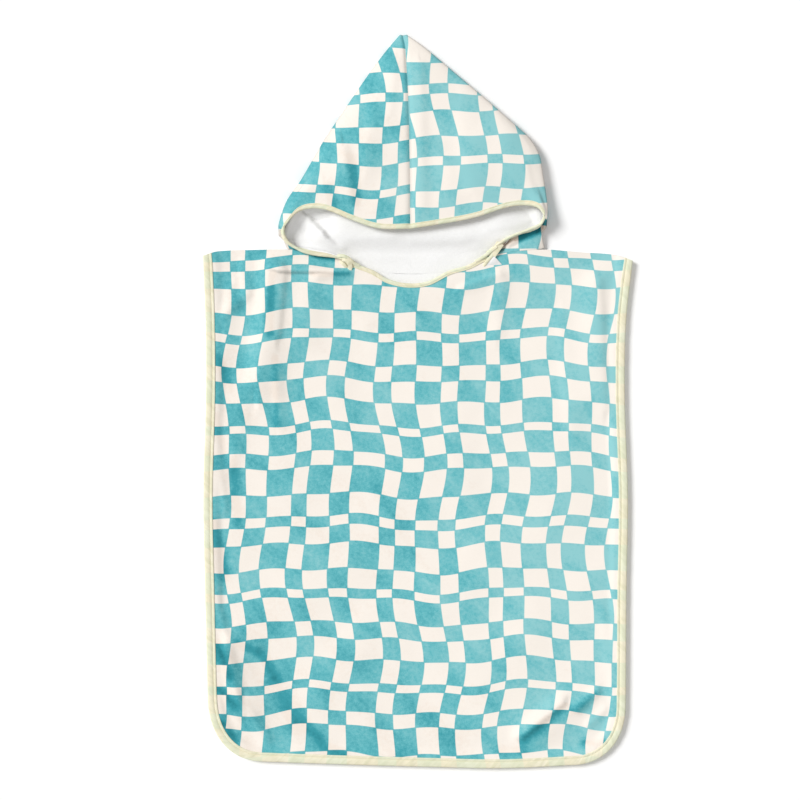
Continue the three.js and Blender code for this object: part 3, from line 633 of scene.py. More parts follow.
def hood_points(side, rows, degrees):
    curves = hood_section_curves(side)
    rows, degrees = np.asarray(rows, float), np.asarray(degrees, float)
    angle = np.radians(degrees)[None, :]
    share = np.sin(angle)
    fold = through(curves["fold"], rows)[:, None, :]
    seam = through(curves["seam"], np.minimum(rows, MOUTH_ROW))[:, None, :]
    back = through(curves["back"], rows)[:, None, :]
    x = mix(seam[..., 0] + curves["outwards"] * 0.04, fold[..., 0], share)

    mouth_x = mix(seam[..., 0], curves["corner"], share / math.sin(math.radians(RIM_DEGREES)))
    mouth_fold_y = through(curves["fold"], [MOUTH_ROW])[0, 1]
    mouth_chord = mix(HOOD_ROWS[MOUTH_ROW][1], mouth_fold_y, share)
    calm = fade_in(degrees, 90, RIM_DEGREES)[None, :]
    bow = (curves["forehead"](mouth_x) - mouth_chord) * calm
    near_mouth = fade_in(rows, BOW_START_ROW, MOUTH_ROW)[:, None]
    front_y = mix(seam[..., 1], fold[..., 1], share) + bow * near_mouth
    front_z = fold[..., 2] + (seam[..., 2] - fold[..., 2]) * np.maximum(0, np.cos(angle)) ** FRONT_DOME

    near_neck = smooth((rows - MOUTH_ROW + 2) / (LAST_ROW - MOUTH_ROW + 2))[:, None]
    back_y = mix(mix(back[..., 1], fold[..., 1], share), back_top(x) + NECK_GAP / 2, near_neck)
    back_z = fold[..., 2] - (fold[..., 2] - BACK_LEVEL) * np.abs(np.cos(angle)) ** BACK_FLATNESS

    in_front = degrees[None, :] <= 90
    points = np.stack([x, np.where(in_front, front_y, back_y), np.where(in_front, front_z, back_z)], axis=2)
    # The front layer's folds, which fade out on the side fold and at the bound edge
    on_top = fade_in(degrees, *FRONT_FOLD_DEGREES)[None, :] * (rows <= MOUTH_ROW)[:, None]
    loose = on_top * smooth((MOUTH_ROW - rows) / 1.2)[:, None] * smooth(rows / 2)[:, None]
    folds = ridge_height(x, points[..., 1], HOOD_RIDGES[side])
    folds = folds + HOOD_WAVES * slow_waves(x, points[..., 1])
    dip = SEAM_DIP * np.exp(-((x - seam[..., 0]) / SEAM_DIP_REACH) ** 2)
    points[..., 2] += folds * loose - dip * on_top
    # The back layer's folds, which fade out on the side fold and at the neck seam
    below = fade_in(degrees, *BACK_FOLD_DEGREES)[None, :] * smooth((LAST_ROW - rows) / 0.8)[:, None]
    points[..., 2] += inside_level(side, x, points[..., 1]) * below
    return points


# %% The fine net of one half
ROW_STEPS, COLUMN_STEPS, STRIP_STEPS = 11, 10, 10


def fine_steps(count, steps):
    return np.linspace(0, count - 1, (count - 1) * steps + 1)


def hood_nets(side):
    columns_at = fine_steps(len(HOOD_DEGREES), COLUMN_STEPS)
    degrees = np.interp(columns_at, np.arange(len(HOOD_DEGREES)), HOOD_DEGREES)
    rim = int(np.argmin(np.abs(degrees - RIM_DEGREES)))
    strip = STRIPS[side]
    rows = np.linspace(0, MOUTH_ROW, 12 * ROW_STEPS + 1)
    upper = hood_points(side, rows, degrees)
    # The corner of the opening is the strip's first point
    pull = strip[0, 0] - upper[-1, rim]
    near_row = smooth(1 - (MOUTH_ROW - rows) / 1.5)[:, None]
    near_rim = smooth(1 - np.abs(degrees - RIM_DEGREES) / 20)[None, :]
    upper += (near_row * near_rim)[..., None] * pull

    # Below the mouth row, from the strip's first column round to the back
    low_rows = np.linspace(MOUTH_ROW, LAST_ROW, 3 * ROW_STEPS + 1)
    coarse = [i for i, degree in enumerate(HOOD_DEGREES) if degree >= RIM_DEGREES]
    columns = hood_points(side, low_rows, [HOOD_DEGREES[i] for i in coarse])
    columns[:, 0] = through(strip[:, 0], low_rows - MOUTH_ROW)
    lower = through(columns.transpose(1, 0, 2), fine_steps(len(coarse), COLUMN_STEPS)).transpose(1, 0, 2)
    lower[0] = upper[-1, rim:]
    direct = hood_points(side, low_rows, degrees[rim:])
    settle = smooth(low_rows - MOUTH_ROW)[:, None]
    own = np.maximum(settle, smooth(1 - (degrees[rim:] - RIM_DEGREES) / 15)[None, :])[..., None]
    lower[1:] = mix(direct, lower, own)[1:]

    down = fine_steps(len(strip), ROW_STEPS)
    across = fine_steps(strip.shape[1], STRIP_STEPS)
    lip = through(through(strip, down).transpose(1, 0, 2), across).transpose(1, 0, 2)
    crease = ridge_height(lip[..., 0], lip[..., 1], LIP_CREASES[side])
    lip[..., 2] += crease * (smooth(down) * smooth(3 - down))[:, None]
    half = degrees.searchsorted(90) + 1
    cap = np.stack([upper[0, :half], upper[0, ::-1][:half]])
    return {"upper": upper, "lower": lower, "lip": lip, "cap": cap, "rim": rim}


def cut_of_section(points):
    steps = np.diff(points, axis=1)
    lengths = np.cumsum(np.hypot(steps[..., 0], steps[..., 2]), axis=1)
    across = np.concatenate([np.zeros((len(points), 1)), lengths], axis=1)
    return np.stack([across, points[..., 1]], axis=2)


CUT_SHIFT = {"left": (74, 29), "right": (-5, 118)}


def build_hood(side):
    nets = hood_nets(side)
    outwards = -1 if side == "left" else 1
    turn = (outwards, 1)
    upper_cut = cut_of_section(nets["upper"])
    rim = nets["rim"]
    start = upper_cut[-1, rim, 0]
    lower_cut = cut_of_section(nets["lower"])
    lower_cut[..., 0] += start
    lip_x, lip_y = nets["lip"][..., 0], nets["lip"][..., 1]
    lip_cut = np.stack([start + (lip_x - lip_x[0, 0]) * outwards, lip_y], axis=2)
    cap_cut = np.stack([upper_cut[0, :nets["cap"].shape[1]]] * 2)
    pieces = [net(f"{side}_{part}", nets[part], cut * turn + CUT_SHIFT[side]) for part, cut in (
        ("upper", upper_cut), ("lower", lower_cut), ("lip", lip_cut), ("cap", cap_cut))]
    hood = sew(pieces)
    hood.name = hood.data.name = f"hood_{side}_cloth"
    print_side_up(hood, (-60 if side == "left" else 60, 330, 24))
    return hood, nets


hood_left, left_nets = build_hood("left")
hood_right, right_nets = build_hood("right")
for hood in (hood_left, hood_right):
    thicken(hood)

# %% [markdown]
# ## Tape round the edges
#
# Bias tape is a strip of woven cotton, folded round the edge and sewn down through both of its
# legs. Its section is drawn once, as points of inset from the edge and height off the cloth.
# At every station of the edge the cloth gives a short line inwards and its normals, and the
# section rides on them, so the tape bends wherever the cloth does. The stitches are modelled too:
# a thread runs along the tape, and sinks into it at the end of every stitch.

# %% Tape section and sweep
LEG_LOW, LEG_HIGH = HALF_CLOTH + 0.12, HALF_CLOTH + 0.12 + TAPE
GROOVE = 0.5
THREAD, STITCH, POINTS_A_STITCH = 0.26, 3.2, 4
SUNK, HUMP = 0.28, 0.55


def stitch_inset(width):
    return width * 0.66


def tape_section(width):
    fold = [(0.2, LEG_HIGH + 0.05), (-0.6, 1.75), (-1.25, 1.3), (-1.65, 0.7), (-1.8, 0)]
    line = stitch_inset(width)
    over = [(width, LEG_LOW + 0.25), (width - 0.15, LEG_HIGH - 0.12), (width - 0.5, LEG_HIGH),
            (line + 0.9, LEG_HIGH + 0.05), (line, LEG_HIGH - GROOVE), (line - 0.9, LEG_HIGH + 0.08),
            (width * 0.3, LEG_HIGH + 0.22), *fold]
    under = [(inset, -height) for inset, height in reversed(over[:-1])]
    lining = [(width, -LEG_LOW), (0.3, -LEG_LOW), (-0.4, -0.5),
              (-0.4, 0.5), (0.3, LEG_LOW), (width, LEG_LOW)]
    return np.array(over + under + lining)


def normals_of(points):
    down = np.gradient(points, axis=0)
    across = np.gradient(points, axis=1)
    normal = np.cross(down, across)
    return normal / np.maximum(np.linalg.norm(normal, axis=2, keepdims=True), 1e-9)


def close_tube(piece):
    make_active(piece)
    bpy.ops.object.mode_set(mode="EDIT")
    bpy.ops.mesh.select_all(action="SELECT")
    bpy.ops.mesh.remove_doubles(threshold=0.002 * MM)
    bpy.ops.mesh.select_all(action="DESELECT")
    bpy.ops.mesh.select_mode(type="EDGE")
    bpy.ops.mesh.select_non_manifold(extend=False, use_wire=False, use_multi_face=False,
                                     use_non_contiguous=False, use_verts=False)
    bpy.ops.mesh.edge_face_add()
    bpy.ops.mesh.select_all(action="SELECT")
    bpy.ops.mesh.normals_make_consistent(inside=False)
    bpy.ops.object.mode_set(mode="OBJECT")
    bpy.ops.object.shade_smooth_by_angle(angle=math.radians(50))


def tube(name, path, ring, sides, ups):
    """Carries a closed ring of (sideways, up) points along a path."""
    loop = np.concatenate([ring, ring[:1]])
    points = path[:, None] + sides[:, None] * loop[None, :, :1] + ups[:, None] * loop[None, :, 1:]
    along = np.concatenate([[0], np.cumsum(np.linalg.norm(np.diff(path, axis=0), axis=1))])
    grain = np.stack(np.broadcast_arrays(along[:, None], np.arange(len(loop))[None, :] * 0.8), axis=2)
    piece = net(name, points, points[..., :2], grain)
    close_tube(piece)
    return piece


def inset_along(lines):
    """How far each point lies from the edge, measured along its own line."""
    steps = np.linalg.norm(np.diff(lines, axis=1), axis=2)
    return np.concatenate([np.zeros((len(lines), 1)), np.cumsum(steps, axis=1)], axis=1)


def read_at(at, inset, line):
    return np.stack([np.interp(at, inset, line[:, k]) for k in range(3)], axis=-1)


def thread_line(name, lines, normals, inset_at):
    """Sewing thread that rises from the tape and dips back into it, stitch after stitch."""
    inset = inset_along(lines)
    spot = np.array([read_at(inset_at, inset[i], line) for i, line in enumerate(lines)])
    up = np.array([read_at(inset_at, inset[i], normal) for i, normal in enumerate(normals)])
    length = np.linalg.norm(np.diff(spot, axis=0), axis=1).sum()
    fine = evenly(np.concatenate([spot, up], axis=1), int(length / STITCH * POINTS_A_STITCH) + 1)
    path, up = fine[:, :3], fine[:, 3:] / np.linalg.norm(fine[:, 3:], axis=1, keepdims=True)
    phase = np.arange(len(path)) * np.pi / POINTS_A_STITCH
    path = path + up * (LEG_HIGH - GROOVE - SUNK + HUMP * np.abs(np.sin(phase)))[:, None]
    ahead = np.gradient(path, axis=0)
    side = np.cross(ahead, up)
    side /= np.linalg.norm(side, axis=1, keepdims=True)
    turn = np.linspace(0, 2 * np.pi, 5)[:-1]
    ring = THREAD * np.stack([np.cos(turn), np.sin(turn)], axis=1)
    return tube(name, path, ring, side, up)


def ribbon(name, path, width, steps=18):
    """A loose end of tape."""
    fine = through(path, np.linspace(0, len(path) - 1, steps))
    ahead = np.gradient(fine, axis=0)
    side = np.cross(ahead, (0, 0, 1))
    side /= np.linalg.norm(side, axis=1, keepdims=True)
    up = np.cross(side, ahead)
    up /= np.linalg.norm(up, axis=1, keepdims=True)
    half, thick = width / 2, TAPE * 0.9
    over = [(half, 0), (half - 0.4, thick), (half * 0.4, thick + 0.25), (0, thick + 0.3),
            (-half * 0.4, thick + 0.25), (-half + 0.4, thick), (-half, 0)]
    under = [(-half + 0.4, -thick), (half - 0.4, -thick)]
    return tube(name, fine, np.array(over + under), side, up)


def sweep_tape(name, lines, normals, width):
    """lines: stations x points going inwards from the edge, and the cloth's normals there."""
    section = tape_section(width)
    inset = inset_along(lines)
    edge_steps = np.linalg.norm(np.diff(lines[:, 0], axis=0), axis=1)
    along_edge = np.concatenate([[0], np.cumsum(edge_steps)])
    rings = np.zeros((len(lines), len(section) + 1, 3))
    grain = np.zeros((len(lines), len(section) + 1, 2))
    loop = np.concatenate([section, section[:1]])
    section_steps = np.linalg.norm(np.diff(loop, axis=0), axis=1)
    round_section = np.concatenate([[0], np.cumsum(section_steps)])
    for i, (line, normal) in enumerate(zip(lines, normals)):
        out = line[0] - line[1]
        out -= normal[0] * out.dot(normal[0])
        out /= np.linalg.norm(out)
        at = np.clip(loop[:, 0], 0, inset[i, -1])
        place = read_at(at, inset[i], line)
        up = read_at(at, inset[i], normal)
        up /= np.linalg.norm(up, axis=1, keepdims=True)
        rings[i] = place + up * loop[:, 1:] + out * np.maximum(0, -loop[:, :1])
        grain[i, :, 0] = along_edge[i]
        grain[i, :, 1] = round_section
    piece = net(name, rings, rings[..., :2], grain)
    close_tube(piece)
    threads.append((piece, thread_line(name + "_thread", lines, normals, stitch_inset(width))))
    print(name, "is", round(along_edge[-1]), "mm long,", len(piece.data.polygons), "faces")
    return piece, along_edge[-1]


threads = []

# %% Hem tapes of the front and the back
END_STATIONS = 8


def hem_lines(level, width):
    insets = np.linspace(0, width + 2, 14)
    edge = OUTLINE + TAPE_REACH * INWARD
    flat = edge[:, None, :] + insets[None, :, None] * INWARD[:, None, :]
    x, y = flat[..., 0], flat[..., 1]
    for end, step in ((0, 1), (-1, -1)):
        rise = front_top(x[end]) - y[end]
        for i in range(END_STATIONS):
            y[end + step * i] += rise * smooth(1 - i / END_STATIONS)
    from_edge = np.broadcast_to(TAPE_REACH + insets, x.shape)
    lines = np.stack([x, y, level(x, y, from_edge)], axis=2)
    normals = normals_of(lines)
    return lines, normals * np.sign(normals[..., 2:])


front_lines, front_normals = hem_lines(front_level, HEM_TAPE)
back_lines, back_normals = hem_lines(back_level, HEM_TAPE)
front_tape, front_tape_length = sweep_tape("front_hem_tape", front_lines, front_normals, HEM_TAPE)
back_tape, back_tape_length = sweep_tape("back_hem_tape", back_lines, back_normals, HEM_TAPE)

# %% Tape of the scooped neckline
scoop_x = np.linspace(*SCOOP, 120)
scoop_edge = np.stack([scoop_x, front_top(scoop_x) - NECK_GAP / 2], axis=1)
scoop_along = np.gradient(scoop_edge, axis=0)
scoop_in = np.stack([scoop_along[:, 1], -scoop_along[:, 0]], axis=1)
scoop_in /= np.linalg.norm(scoop_in, axis=1)[:, None]
scoop_flat = scoop_edge[:, None, :] + np.linspace(0, NECK_TAPE + 1, 8)[None, :, None] * scoop_in[:, None, :]
scoop_level = front_level(scoop_flat[..., 0], scoop_flat[..., 1], FAR_FROM_EDGE)
scoop_lines = np.concatenate([scoop_flat, scoop_level[..., None]], axis=2)
scoop_normals = normals_of(scoop_lines)
scoop_normals *= np.sign(scoop_normals[..., 2:])
neck_tape, neck_tape_length = sweep_tape("neck_tape", scoop_lines, scoop_normals, NECK_TAPE)

# %% [markdown]
# The tape of the face opening starts at one neck point, follows the lower lip to the corner,
# crosses the forehead and comes down on the other side. The nets of the hood already have lines
# that lead inwards from that edge: up the hood from the forehead, and down the strip from the lip.

# %% Tape of the face opening
def rim_lines(side, nets, depth=ROW_STEPS * 3 // 2):
    rim, upper, lip = nets["rim"], nets["upper"], nets["lip"]
    upper_normals, lip_normals = normals_of(upper), normals_of(lip)
    forehead = upper[::-1][:depth, :rim].transpose(1, 0, 2)
    forehead_up = upper_normals[::-1][:depth, :rim].transpose(1, 0, 2)
    forehead_up = forehead_up * np.sign(forehead_up[:, :1, 2:])
    lower = lip[:depth].transpose(1, 0, 2)
    lower_up = lip_normals[:depth].transpose(1, 0, 2)
    same_side = lower_up[0, 0].dot(forehead_up[-1, 0]) > 0
    lower_up = lower_up if same_side else -lower_up
    return np.concatenate([forehead, lower]), np.concatenate([forehead_up, lower_up])


left_rim, left_up = rim_lines("left", left_nets)
right_rim, right_up = rim_lines("right", right_nets)
face_lines = np.concatenate([left_rim[::-1], right_rim[1:]])
face_up = np.concatenate([left_up[::-1], right_up[1:]])
# Smoothed normals keep the tape from twisting at the corners of the opening
for _ in range(3):
    face_up[1:-1] = (face_up[:-2] + 2 * face_up[1:-1] + face_up[2:]) / 4
face_up /= np.linalg.norm(face_up, axis=2, keepdims=True)
face_tape, face_tape_length = sweep_tape("face_tape", face_lines, face_up, FACE_TAPE)

# %% [markdown]
# At both neck points the two tapes meet. Their ends are folded over each other and tacked down,
# which makes a small knot of tape. On the right a corner of the white inside peeps out as well.

# %% Folded tape ends and the white corner
LEFT_KNOT = [
    ([(-113, 203, 12.6), (-105, 203, 14.4), (-97.5, 200, 13.8), (-90, 193.5, 11.4), (-82, 189.5, 9.0)], 5.0),
    ([(-106, 199, 12.4), (-99.5, 197, 13.2), (-95, 191, 12.0), (-95.5, 185, 9.6), (-100, 182.5, 7.6)], 6.5),
    ([(-109, 196, 9.4), (-104, 192, 10.6), (-100, 187.5, 9.2)], 5.0),
]
RIGHT_KNOT = [
    ([(115, 221, 11.6), (110.5, 214.5, 12.9), (106, 208, 12.2), (102.5, 203, 10.2)], 11.0),
    ([(104, 204, 11.2), (99.5, 199.5, 11.2), (95, 194, 9.8), (91.5, 189.5, 8.0)], 4.8),
    ([(110, 216, 14.0), (100, 208.5, 12.6), (90, 201, 10.6), (80, 195.5, 9.2)], 4.6),
]
ends = []
for side, knot in (("left", LEFT_KNOT), ("right", RIGHT_KNOT)):
    for number, (path, width) in enumerate(knot):
        ends.append(ribbon(f"{side}_end_{number}", path, width))
join_to(face_tape, ends)

FLAP_FOOT = [(91, 189.5, 8.0), (117, 191.5, 8.2)]
FLAP_HEAD = [(103, 202, 10.8), (107, 202, 11.2)]
FLAP_PUFF, FLAP_CLOTH = 1.3, 1.2
flap_grid = np.linspace(0, 1, 9)
flap_foot = mix(*np.array(FLAP_FOOT), flap_grid[:, None])
flap_head = mix(*np.array(FLAP_HEAD), flap_grid[:, None])
flap_points = mix(flap_foot[None], flap_head[None], flap_grid[:, None, None])
flap_points[..., 2] += FLAP_PUFF * np.sin(np.pi * flap_grid)[None, :] * np.sin(np.pi * flap_grid)[:, None]
flap = net("white_corner", flap_points, flap_points[..., :2])
print_side_up(flap, (104, 196, 9))
flap.data.flip_normals()
thicken(flap, FLAP_CLOTH)

# %% [markdown]
# ## Materials
#
# The print is a wavy check. A check is a product: one sign that flips from column to column,
# times one that flips from row to row. The widths of the columns and rows come from two short
# charts, and slow sine waves bend both before the charts are read.

# %% Node helpers
def node_tree(name, kind="material"):
    if kind == "material":
        material = bpy.data.materials.new(name)
        material.use_nodes = True
        material.node_tree.nodes.clear()
        return material, material.node_tree
    group = bpy.data.node_groups.new(name, "ShaderNodeTree")
    return group, group


def add(tree, kind, inputs=(), **settings):
    node = tree.nodes.new(kind)
    for key, value in settings.items():
        setattr(node, key, value)
    for key, value in dict(inputs).items():
        if isinstance(value, bpy.types.NodeSocket):
            tree.links.new(value, node.inputs[key])
        else:
            node.inputs[key].default_value = value
    return node


def calc(tree, operation, a, b=0.0, c=0.0):
    return add(tree, "ShaderNodeMath", {0: a, 1: b, 2: c}, operation=operation).outputs[0]


def noise(tree, place, scale, detail, roughness=0.5):
    inputs = {"Vector": place, "Scale": scale, "Detail": detail, "Roughness": roughness}
    return add(tree, "ShaderNodeTexNoise", inputs).outputs[0]


def map_range(tree, value, low, high, way="LINEAR"):
    inputs = {0: value, 1: low, 2: high}
    return add(tree, "ShaderNodeMapRange", inputs, interpolation_type=way).outputs[0]


def streaked(tree, place, stretch, turn):
    """The place stretched along a slanting line, so that a noise read there runs in strokes."""
    inputs = {"Vector": place, "Scale": (1.0, stretch, 1.0), "Rotation": (0, 0, turn)}
    return add(tree, "ShaderNodeMapping", inputs, vector_type="TEXTURE").outputs[0]


def blend_colour(tree, share, a, b, mode="MIX"):
    node = add(tree, "ShaderNodeMix", {0: share, 6: a, 7: b}, data_type="RGBA", blend_type=mode)
    return node.outputs[2]


def srgb(red, green, blue):
    linear = [v / 12.92 if v <= 0.04045 else ((v + 0.055) / 1.055) ** 2.4 for v in (red, green, blue)]
    return (*linear, 1.0)


# %% The wavy check as a node group
COLUMN_WIDTHS = [34, 24, 40, 21, 30, 38, 22, 33, 26, 42, 23, 31]
ROW_HEIGHTS = [30, 22, 34, 12, 28, 36, 24, 14, 31, 38, 20, 29, 11, 33]
# amount, x period, y period, phase
X_WAVES = [(5, 0, 262, 0.6), (2.8, 640, 141, 2.1), (2, 190, -410, 4.0)]
Y_WAVES = [(3.6, 288, 0, 1.2), (2.2, 163, 520, 3.3), (1.4, 97, -300, 0.4)]
EDGE_SOFT, EDGE_SHARP = -0.035, -0.005


def chart_ramp(tree, place, widths, name):
    """Runs from 1 in the middle of one stripe to 0 in the middle of the next."""
    total = sum(widths)
    turned = calc(tree, "FRACT", calc(tree, "DIVIDE", place, total * MM))
    ramp = add(tree, "ShaderNodeValToRGB", {0: turned}, name=name)
    stops = ramp.color_ramp.elements
    middles = (np.cumsum(widths) - np.array(widths) / 2) / total
    edges = np.cumsum(widths)[:-1] / total
    marks = sorted([(m, 1.0 - k % 2) for k, m in enumerate(middles)] + [(e, 0.5) for e in edges])
    marks = [(0.0, 0.5), *marks, (1.0, 0.5)]
    while len(stops) > 1:
        stops.remove(stops[-1])
    stops[0].position = 0.0
    for place_at, _ in marks[1:]:
        stops.new(place_at)
    for stop, (place_at, value) in zip(stops, marks):
        stop.position = place_at
        stop.color = (value, value, value, 1)
    return calc(tree, "SUBTRACT", ramp.outputs[0], 0.5)


def wavy_check():
    group, tree = node_tree("wavy check", "group")
    tree.interface.new_socket("Cut", in_out="INPUT", socket_type="NodeSocketVector")
    tree.interface.new_socket("Dark", in_out="OUTPUT", socket_type="NodeSocketFloat")
    cut = add(tree, "NodeGroupInput").outputs[0]
    parts = add(tree, "ShaderNodeSeparateXYZ", {0: cut})
    x, y = parts.outputs[0], parts.outputs[1]

    def wave(amount, x_period, y_period, phase):
        turn = calc(tree, "MULTIPLY_ADD", x, 2 * math.pi / (x_period * MM) if x_period else 0.0, phase)
        turn = calc(tree, "MULTIPLY_ADD", y, 2 * math.pi / (y_period * MM) if y_period else 0.0, turn)
        return calc(tree, "MULTIPLY", calc(tree, "SINE", turn), amount * MM)

    bent_x, bent_y = x, y
    for bend in X_WAVES:
        bent_x = calc(tree, "ADD", bent_x, wave(*bend))
    for bend in Y_WAVES:
        bent_y = calc(tree, "ADD", bent_y, wave(*bend))
    column = chart_ramp(tree, bent_x, COLUMN_WIDTHS, "columns")
    row = chart_ramp(tree, bent_y, ROW_HEIGHTS, "rows")
    product = calc(tree, "MULTIPLY", column, row)
    size = calc(tree, "SQRT", calc(tree, "ADD", calc(tree, "MULTIPLY", column, column),
                                   calc(tree, "MULTIPLY_ADD", row, row, 1e-5)))
    depth = calc(tree, "DIVIDE", product, size)
    dark = map_range(tree, depth, EDGE_SOFT, EDGE_SHARP, "SMOOTHSTEP")
    add(tree, "NodeGroupOutput", {0: dark})
    return group


WAVY_CHECK = wavy_check()
print("the print repeats every", sum(COLUMN_WIDTHS), "by", sum(ROW_HEIGHTS), "mm")

# %% [markdown]
# Velour is sheared pile. Its fibres lean this way and that, so the dye looks mottled at three
# scales: single tufts, small patches, and strokes where a hand has brushed it. A second group
# makes those, and both faces of the cloth use it with their own strength.

# %% The pile as a node group
def pile():
    group, tree = node_tree("pile", "group")
    tree.interface.new_socket("Cut", in_out="INPUT", socket_type="NodeSocketVector")
    tree.interface.new_socket("Tuft Scale", in_out="INPUT", socket_type="NodeSocketFloat")
    tree.interface.new_socket("Mottle", in_out="OUTPUT", socket_type="NodeSocketFloat")
    tree.interface.new_socket("Height", in_out="OUTPUT", socket_type="NodeSocketFloat")
    source = add(tree, "NodeGroupInput")
    cut, tuft_scale = source.outputs[0], source.outputs[1]
    tufts = noise(tree, cut, tuft_scale, 3.0, 0.65)
    patches = noise(tree, cut, 190.0, 4.0, 0.6)
    strokes = noise(tree, streaked(tree, cut, 2.2, 0.7), 34.0, 3.0)
    mottle = calc(tree, "MULTIPLY", tufts, 0.3)
    mottle = calc(tree, "MULTIPLY_ADD", patches, 0.3, mottle)
    mottle = calc(tree, "MULTIPLY_ADD", strokes, 0.4, mottle)
    height = calc(tree, "MULTIPLY_ADD", patches, 0.5, tufts)
    add(tree, "NodeGroupOutput", {0: mottle, 1: height})
    return group


PILE = pile()


def surface(tree, colour, roughness, normal=None, **fixed):
    shader = add(tree, "ShaderNodeBsdfPrincipled", {"Base Color": colour, "Roughness": roughness})
    if normal is not None:
        tree.links.new(normal, shader.inputs["Normal"])
    for key, value in fixed.items():
        shader.inputs[key.replace("_", " ")].default_value = value
    add(tree, "ShaderNodeOutputMaterial", {0: shader.outputs[0]})


# %% Printed velour
# The lighter teal is random mottle and painted sheen, the deeper teal random mottle and painted shade, the
# shaded cream painted shade, and the darkest teal and cream painted shadow.
TEAL_MOTTLE_AND_SHEEN, TEAL, TEAL_MOTTLE_AND_SHADE = srgb(0.555, 0.79, 0.805), srgb(0.395, 0.72, 0.75), srgb(0.225, 0.60, 0.645)
CREAM, CREAM_SHADE = srgb(0.955, 0.925, 0.89), srgb(0.935, 0.89, 0.845)
TEAL_SHADOW, CREAM_SHADOW = srgb(0.06, 0.42, 0.46), srgb(0.80, 0.73, 0.67)
SLOPE_SHADE = srgb(0.875, 0.875, 0.875)


def printed_velour():
    material, tree = node_tree("printed velour")
    cut = add(tree, "ShaderNodeUVMap", uv_map="cut").outputs[0]
    check = add(tree, "ShaderNodeGroup", {0: cut}, node_tree=WAVY_CHECK)
    nap = add(tree, "ShaderNodeGroup", {0: cut, 1: 900.0}, node_tree=PILE)
    # The nap attribute carries painted sheen and shade across each piece, painted shadow under lips and
    # tapes, painted shade beside folds, and a little random tone.
    shade_and_sheen = add(tree, "ShaderNodeAttribute", attribute_name="nap").outputs[2]
    away = calc(tree, "MULTIPLY_ADD", calc(tree, "SUBTRACT", 0.5, nap.outputs[0]), 3.4, shade_and_sheen)
    light = map_range(tree, away, 0.5, 0.0)
    mottle_and_shade = map_range(tree, away, 0.5, 1.0)
    teal = blend_colour(tree, light, TEAL, TEAL_MOTTLE_AND_SHEEN)
    teal = blend_colour(tree, mottle_and_shade, teal, TEAL_MOTTLE_AND_SHADE)
    # The darkest teal and cream are painted shadow.
    teal = blend_colour(tree, map_range(tree, away, 1.1, 2.0), teal, TEAL_SHADOW)
    cream = blend_colour(tree, mottle_and_shade, CREAM, CREAM_SHADE)
    cream = blend_colour(tree, map_range(tree, away, 1.6, 2.5), cream, CREAM_SHADOW)
    colour = blend_colour(tree, check.outputs[0], cream, teal)
    # Painted shade where the cloth turns down steeply.
    slope_shade = add(tree, "ShaderNodeAttribute", attribute_name="slope_shade").outputs[2]
    colour = blend_colour(tree, slope_shade, colour, SLOPE_SHADE, "MULTIPLY")
    bump = add(tree, "ShaderNodeBump", {"Strength": 0.35, "Distance": 0.0006, "Height": nap.outputs[1]})
    rough = calc(tree, "MULTIPLY_ADD", nap.outputs[0], 0.1, 0.82)
    surface(tree, colour, rough, bump.outputs[0],
            Sheen_Weight=0.05, Sheen_Roughness=0.5, Specular_IOR_Level=0.2)
    return material


# %% White loops
def white_loops():
    material, tree = node_tree("white loops")
    cut = add(tree, "ShaderNodeUVMap", uv_map="cut").outputs[0]
    nap = add(tree, "ShaderNodeGroup", {0: cut, 1: 650.0}, node_tree=PILE)
    loops = add(tree, "ShaderNodeTexVoronoi", {"Vector": cut, "Scale": 620.0})
    height = calc(tree, "MULTIPLY_ADD", loops.outputs[0], -0.6, nap.outputs[1])
    shade = map_range(tree, nap.outputs[0], 0.35, 0.6)
    colour = blend_colour(tree, shade, srgb(0.935, 0.935, 0.93), srgb(0.965, 0.965, 0.965))
    bump = add(tree, "ShaderNodeBump", {"Strength": 0.4, "Distance": 0.0008, "Height": height})
    rough = calc(tree, "MULTIPLY_ADD", nap.outputs[0], 0.08, 0.86)
    surface(tree, colour, rough, bump.outputs[0],
            Sheen_Weight=0.1, Sheen_Roughness=0.5, Specular_IOR_Level=0.2)
    return material


# %% [markdown]
# The tape is plain woven cotton, cut on the bias. Its threads cross at a slant, and it drags in
# fine slanting puckers where the stitching pulls, with shade painted along them. It is thin, so the
# checks under it show faintly. Its sewing thread is a little darker, with a fine twist.

# %% Bias tape
def bias_cotton():
    material, tree = node_tree("bias cotton")
    cut = add(tree, "ShaderNodeUVMap", uv_map="cut").outputs[0]
    grain = add(tree, "ShaderNodeUVMap", uv_map="grain").outputs[0]
    check = add(tree, "ShaderNodeGroup", {0: cut}, node_tree=WAVY_CHECK)
    slant = add(tree, "ShaderNodeMapping", {"Vector": grain, "Rotation": (0, 0, math.radians(45))})
    yarn = {"Vector": slant.outputs[0], "Scale": 260.0, "Distortion": 0.6}
    warp, weft = (add(tree, "ShaderNodeTexWave", yarn, bands_direction=way) for way in ("X", "Y"))
    weave = calc(tree, "MULTIPLY", warp.outputs[1], weft.outputs[1])
    drag = noise(tree, streaked(tree, grain, 4.5, 0.8), 150.0, 2.0)
    # Painted shade along the slanting puckers.
    pull = calc(tree, "MULTIPLY", map_range(tree, drag, 0.46, 0.62), 0.6)
    tone = map_range(tree, noise(tree, grain, 22.0, 2.0), 0.35, 0.65)
    cotton = blend_colour(tree, tone, srgb(0.928, 0.898, 0.785), srgb(0.938, 0.92, 0.825))
    cotton = blend_colour(tree, pull, cotton, srgb(0.86, 0.85, 0.72))
    ghost = calc(tree, "MULTIPLY", check.outputs[0], 0.26)
    colour = blend_colour(tree, ghost, cotton, srgb(0.80, 0.90, 0.80))
    height = calc(tree, "MULTIPLY_ADD", drag, 7.0, weave)
    bump = add(tree, "ShaderNodeBump", {"Strength": 0.45, "Distance": 0.0004, "Height": height})
    rough = calc(tree, "MULTIPLY_ADD", weave, 0.1, 0.7)
    surface(tree, colour, rough, bump.outputs[0], Specular_IOR_Level=0.3)
    return material


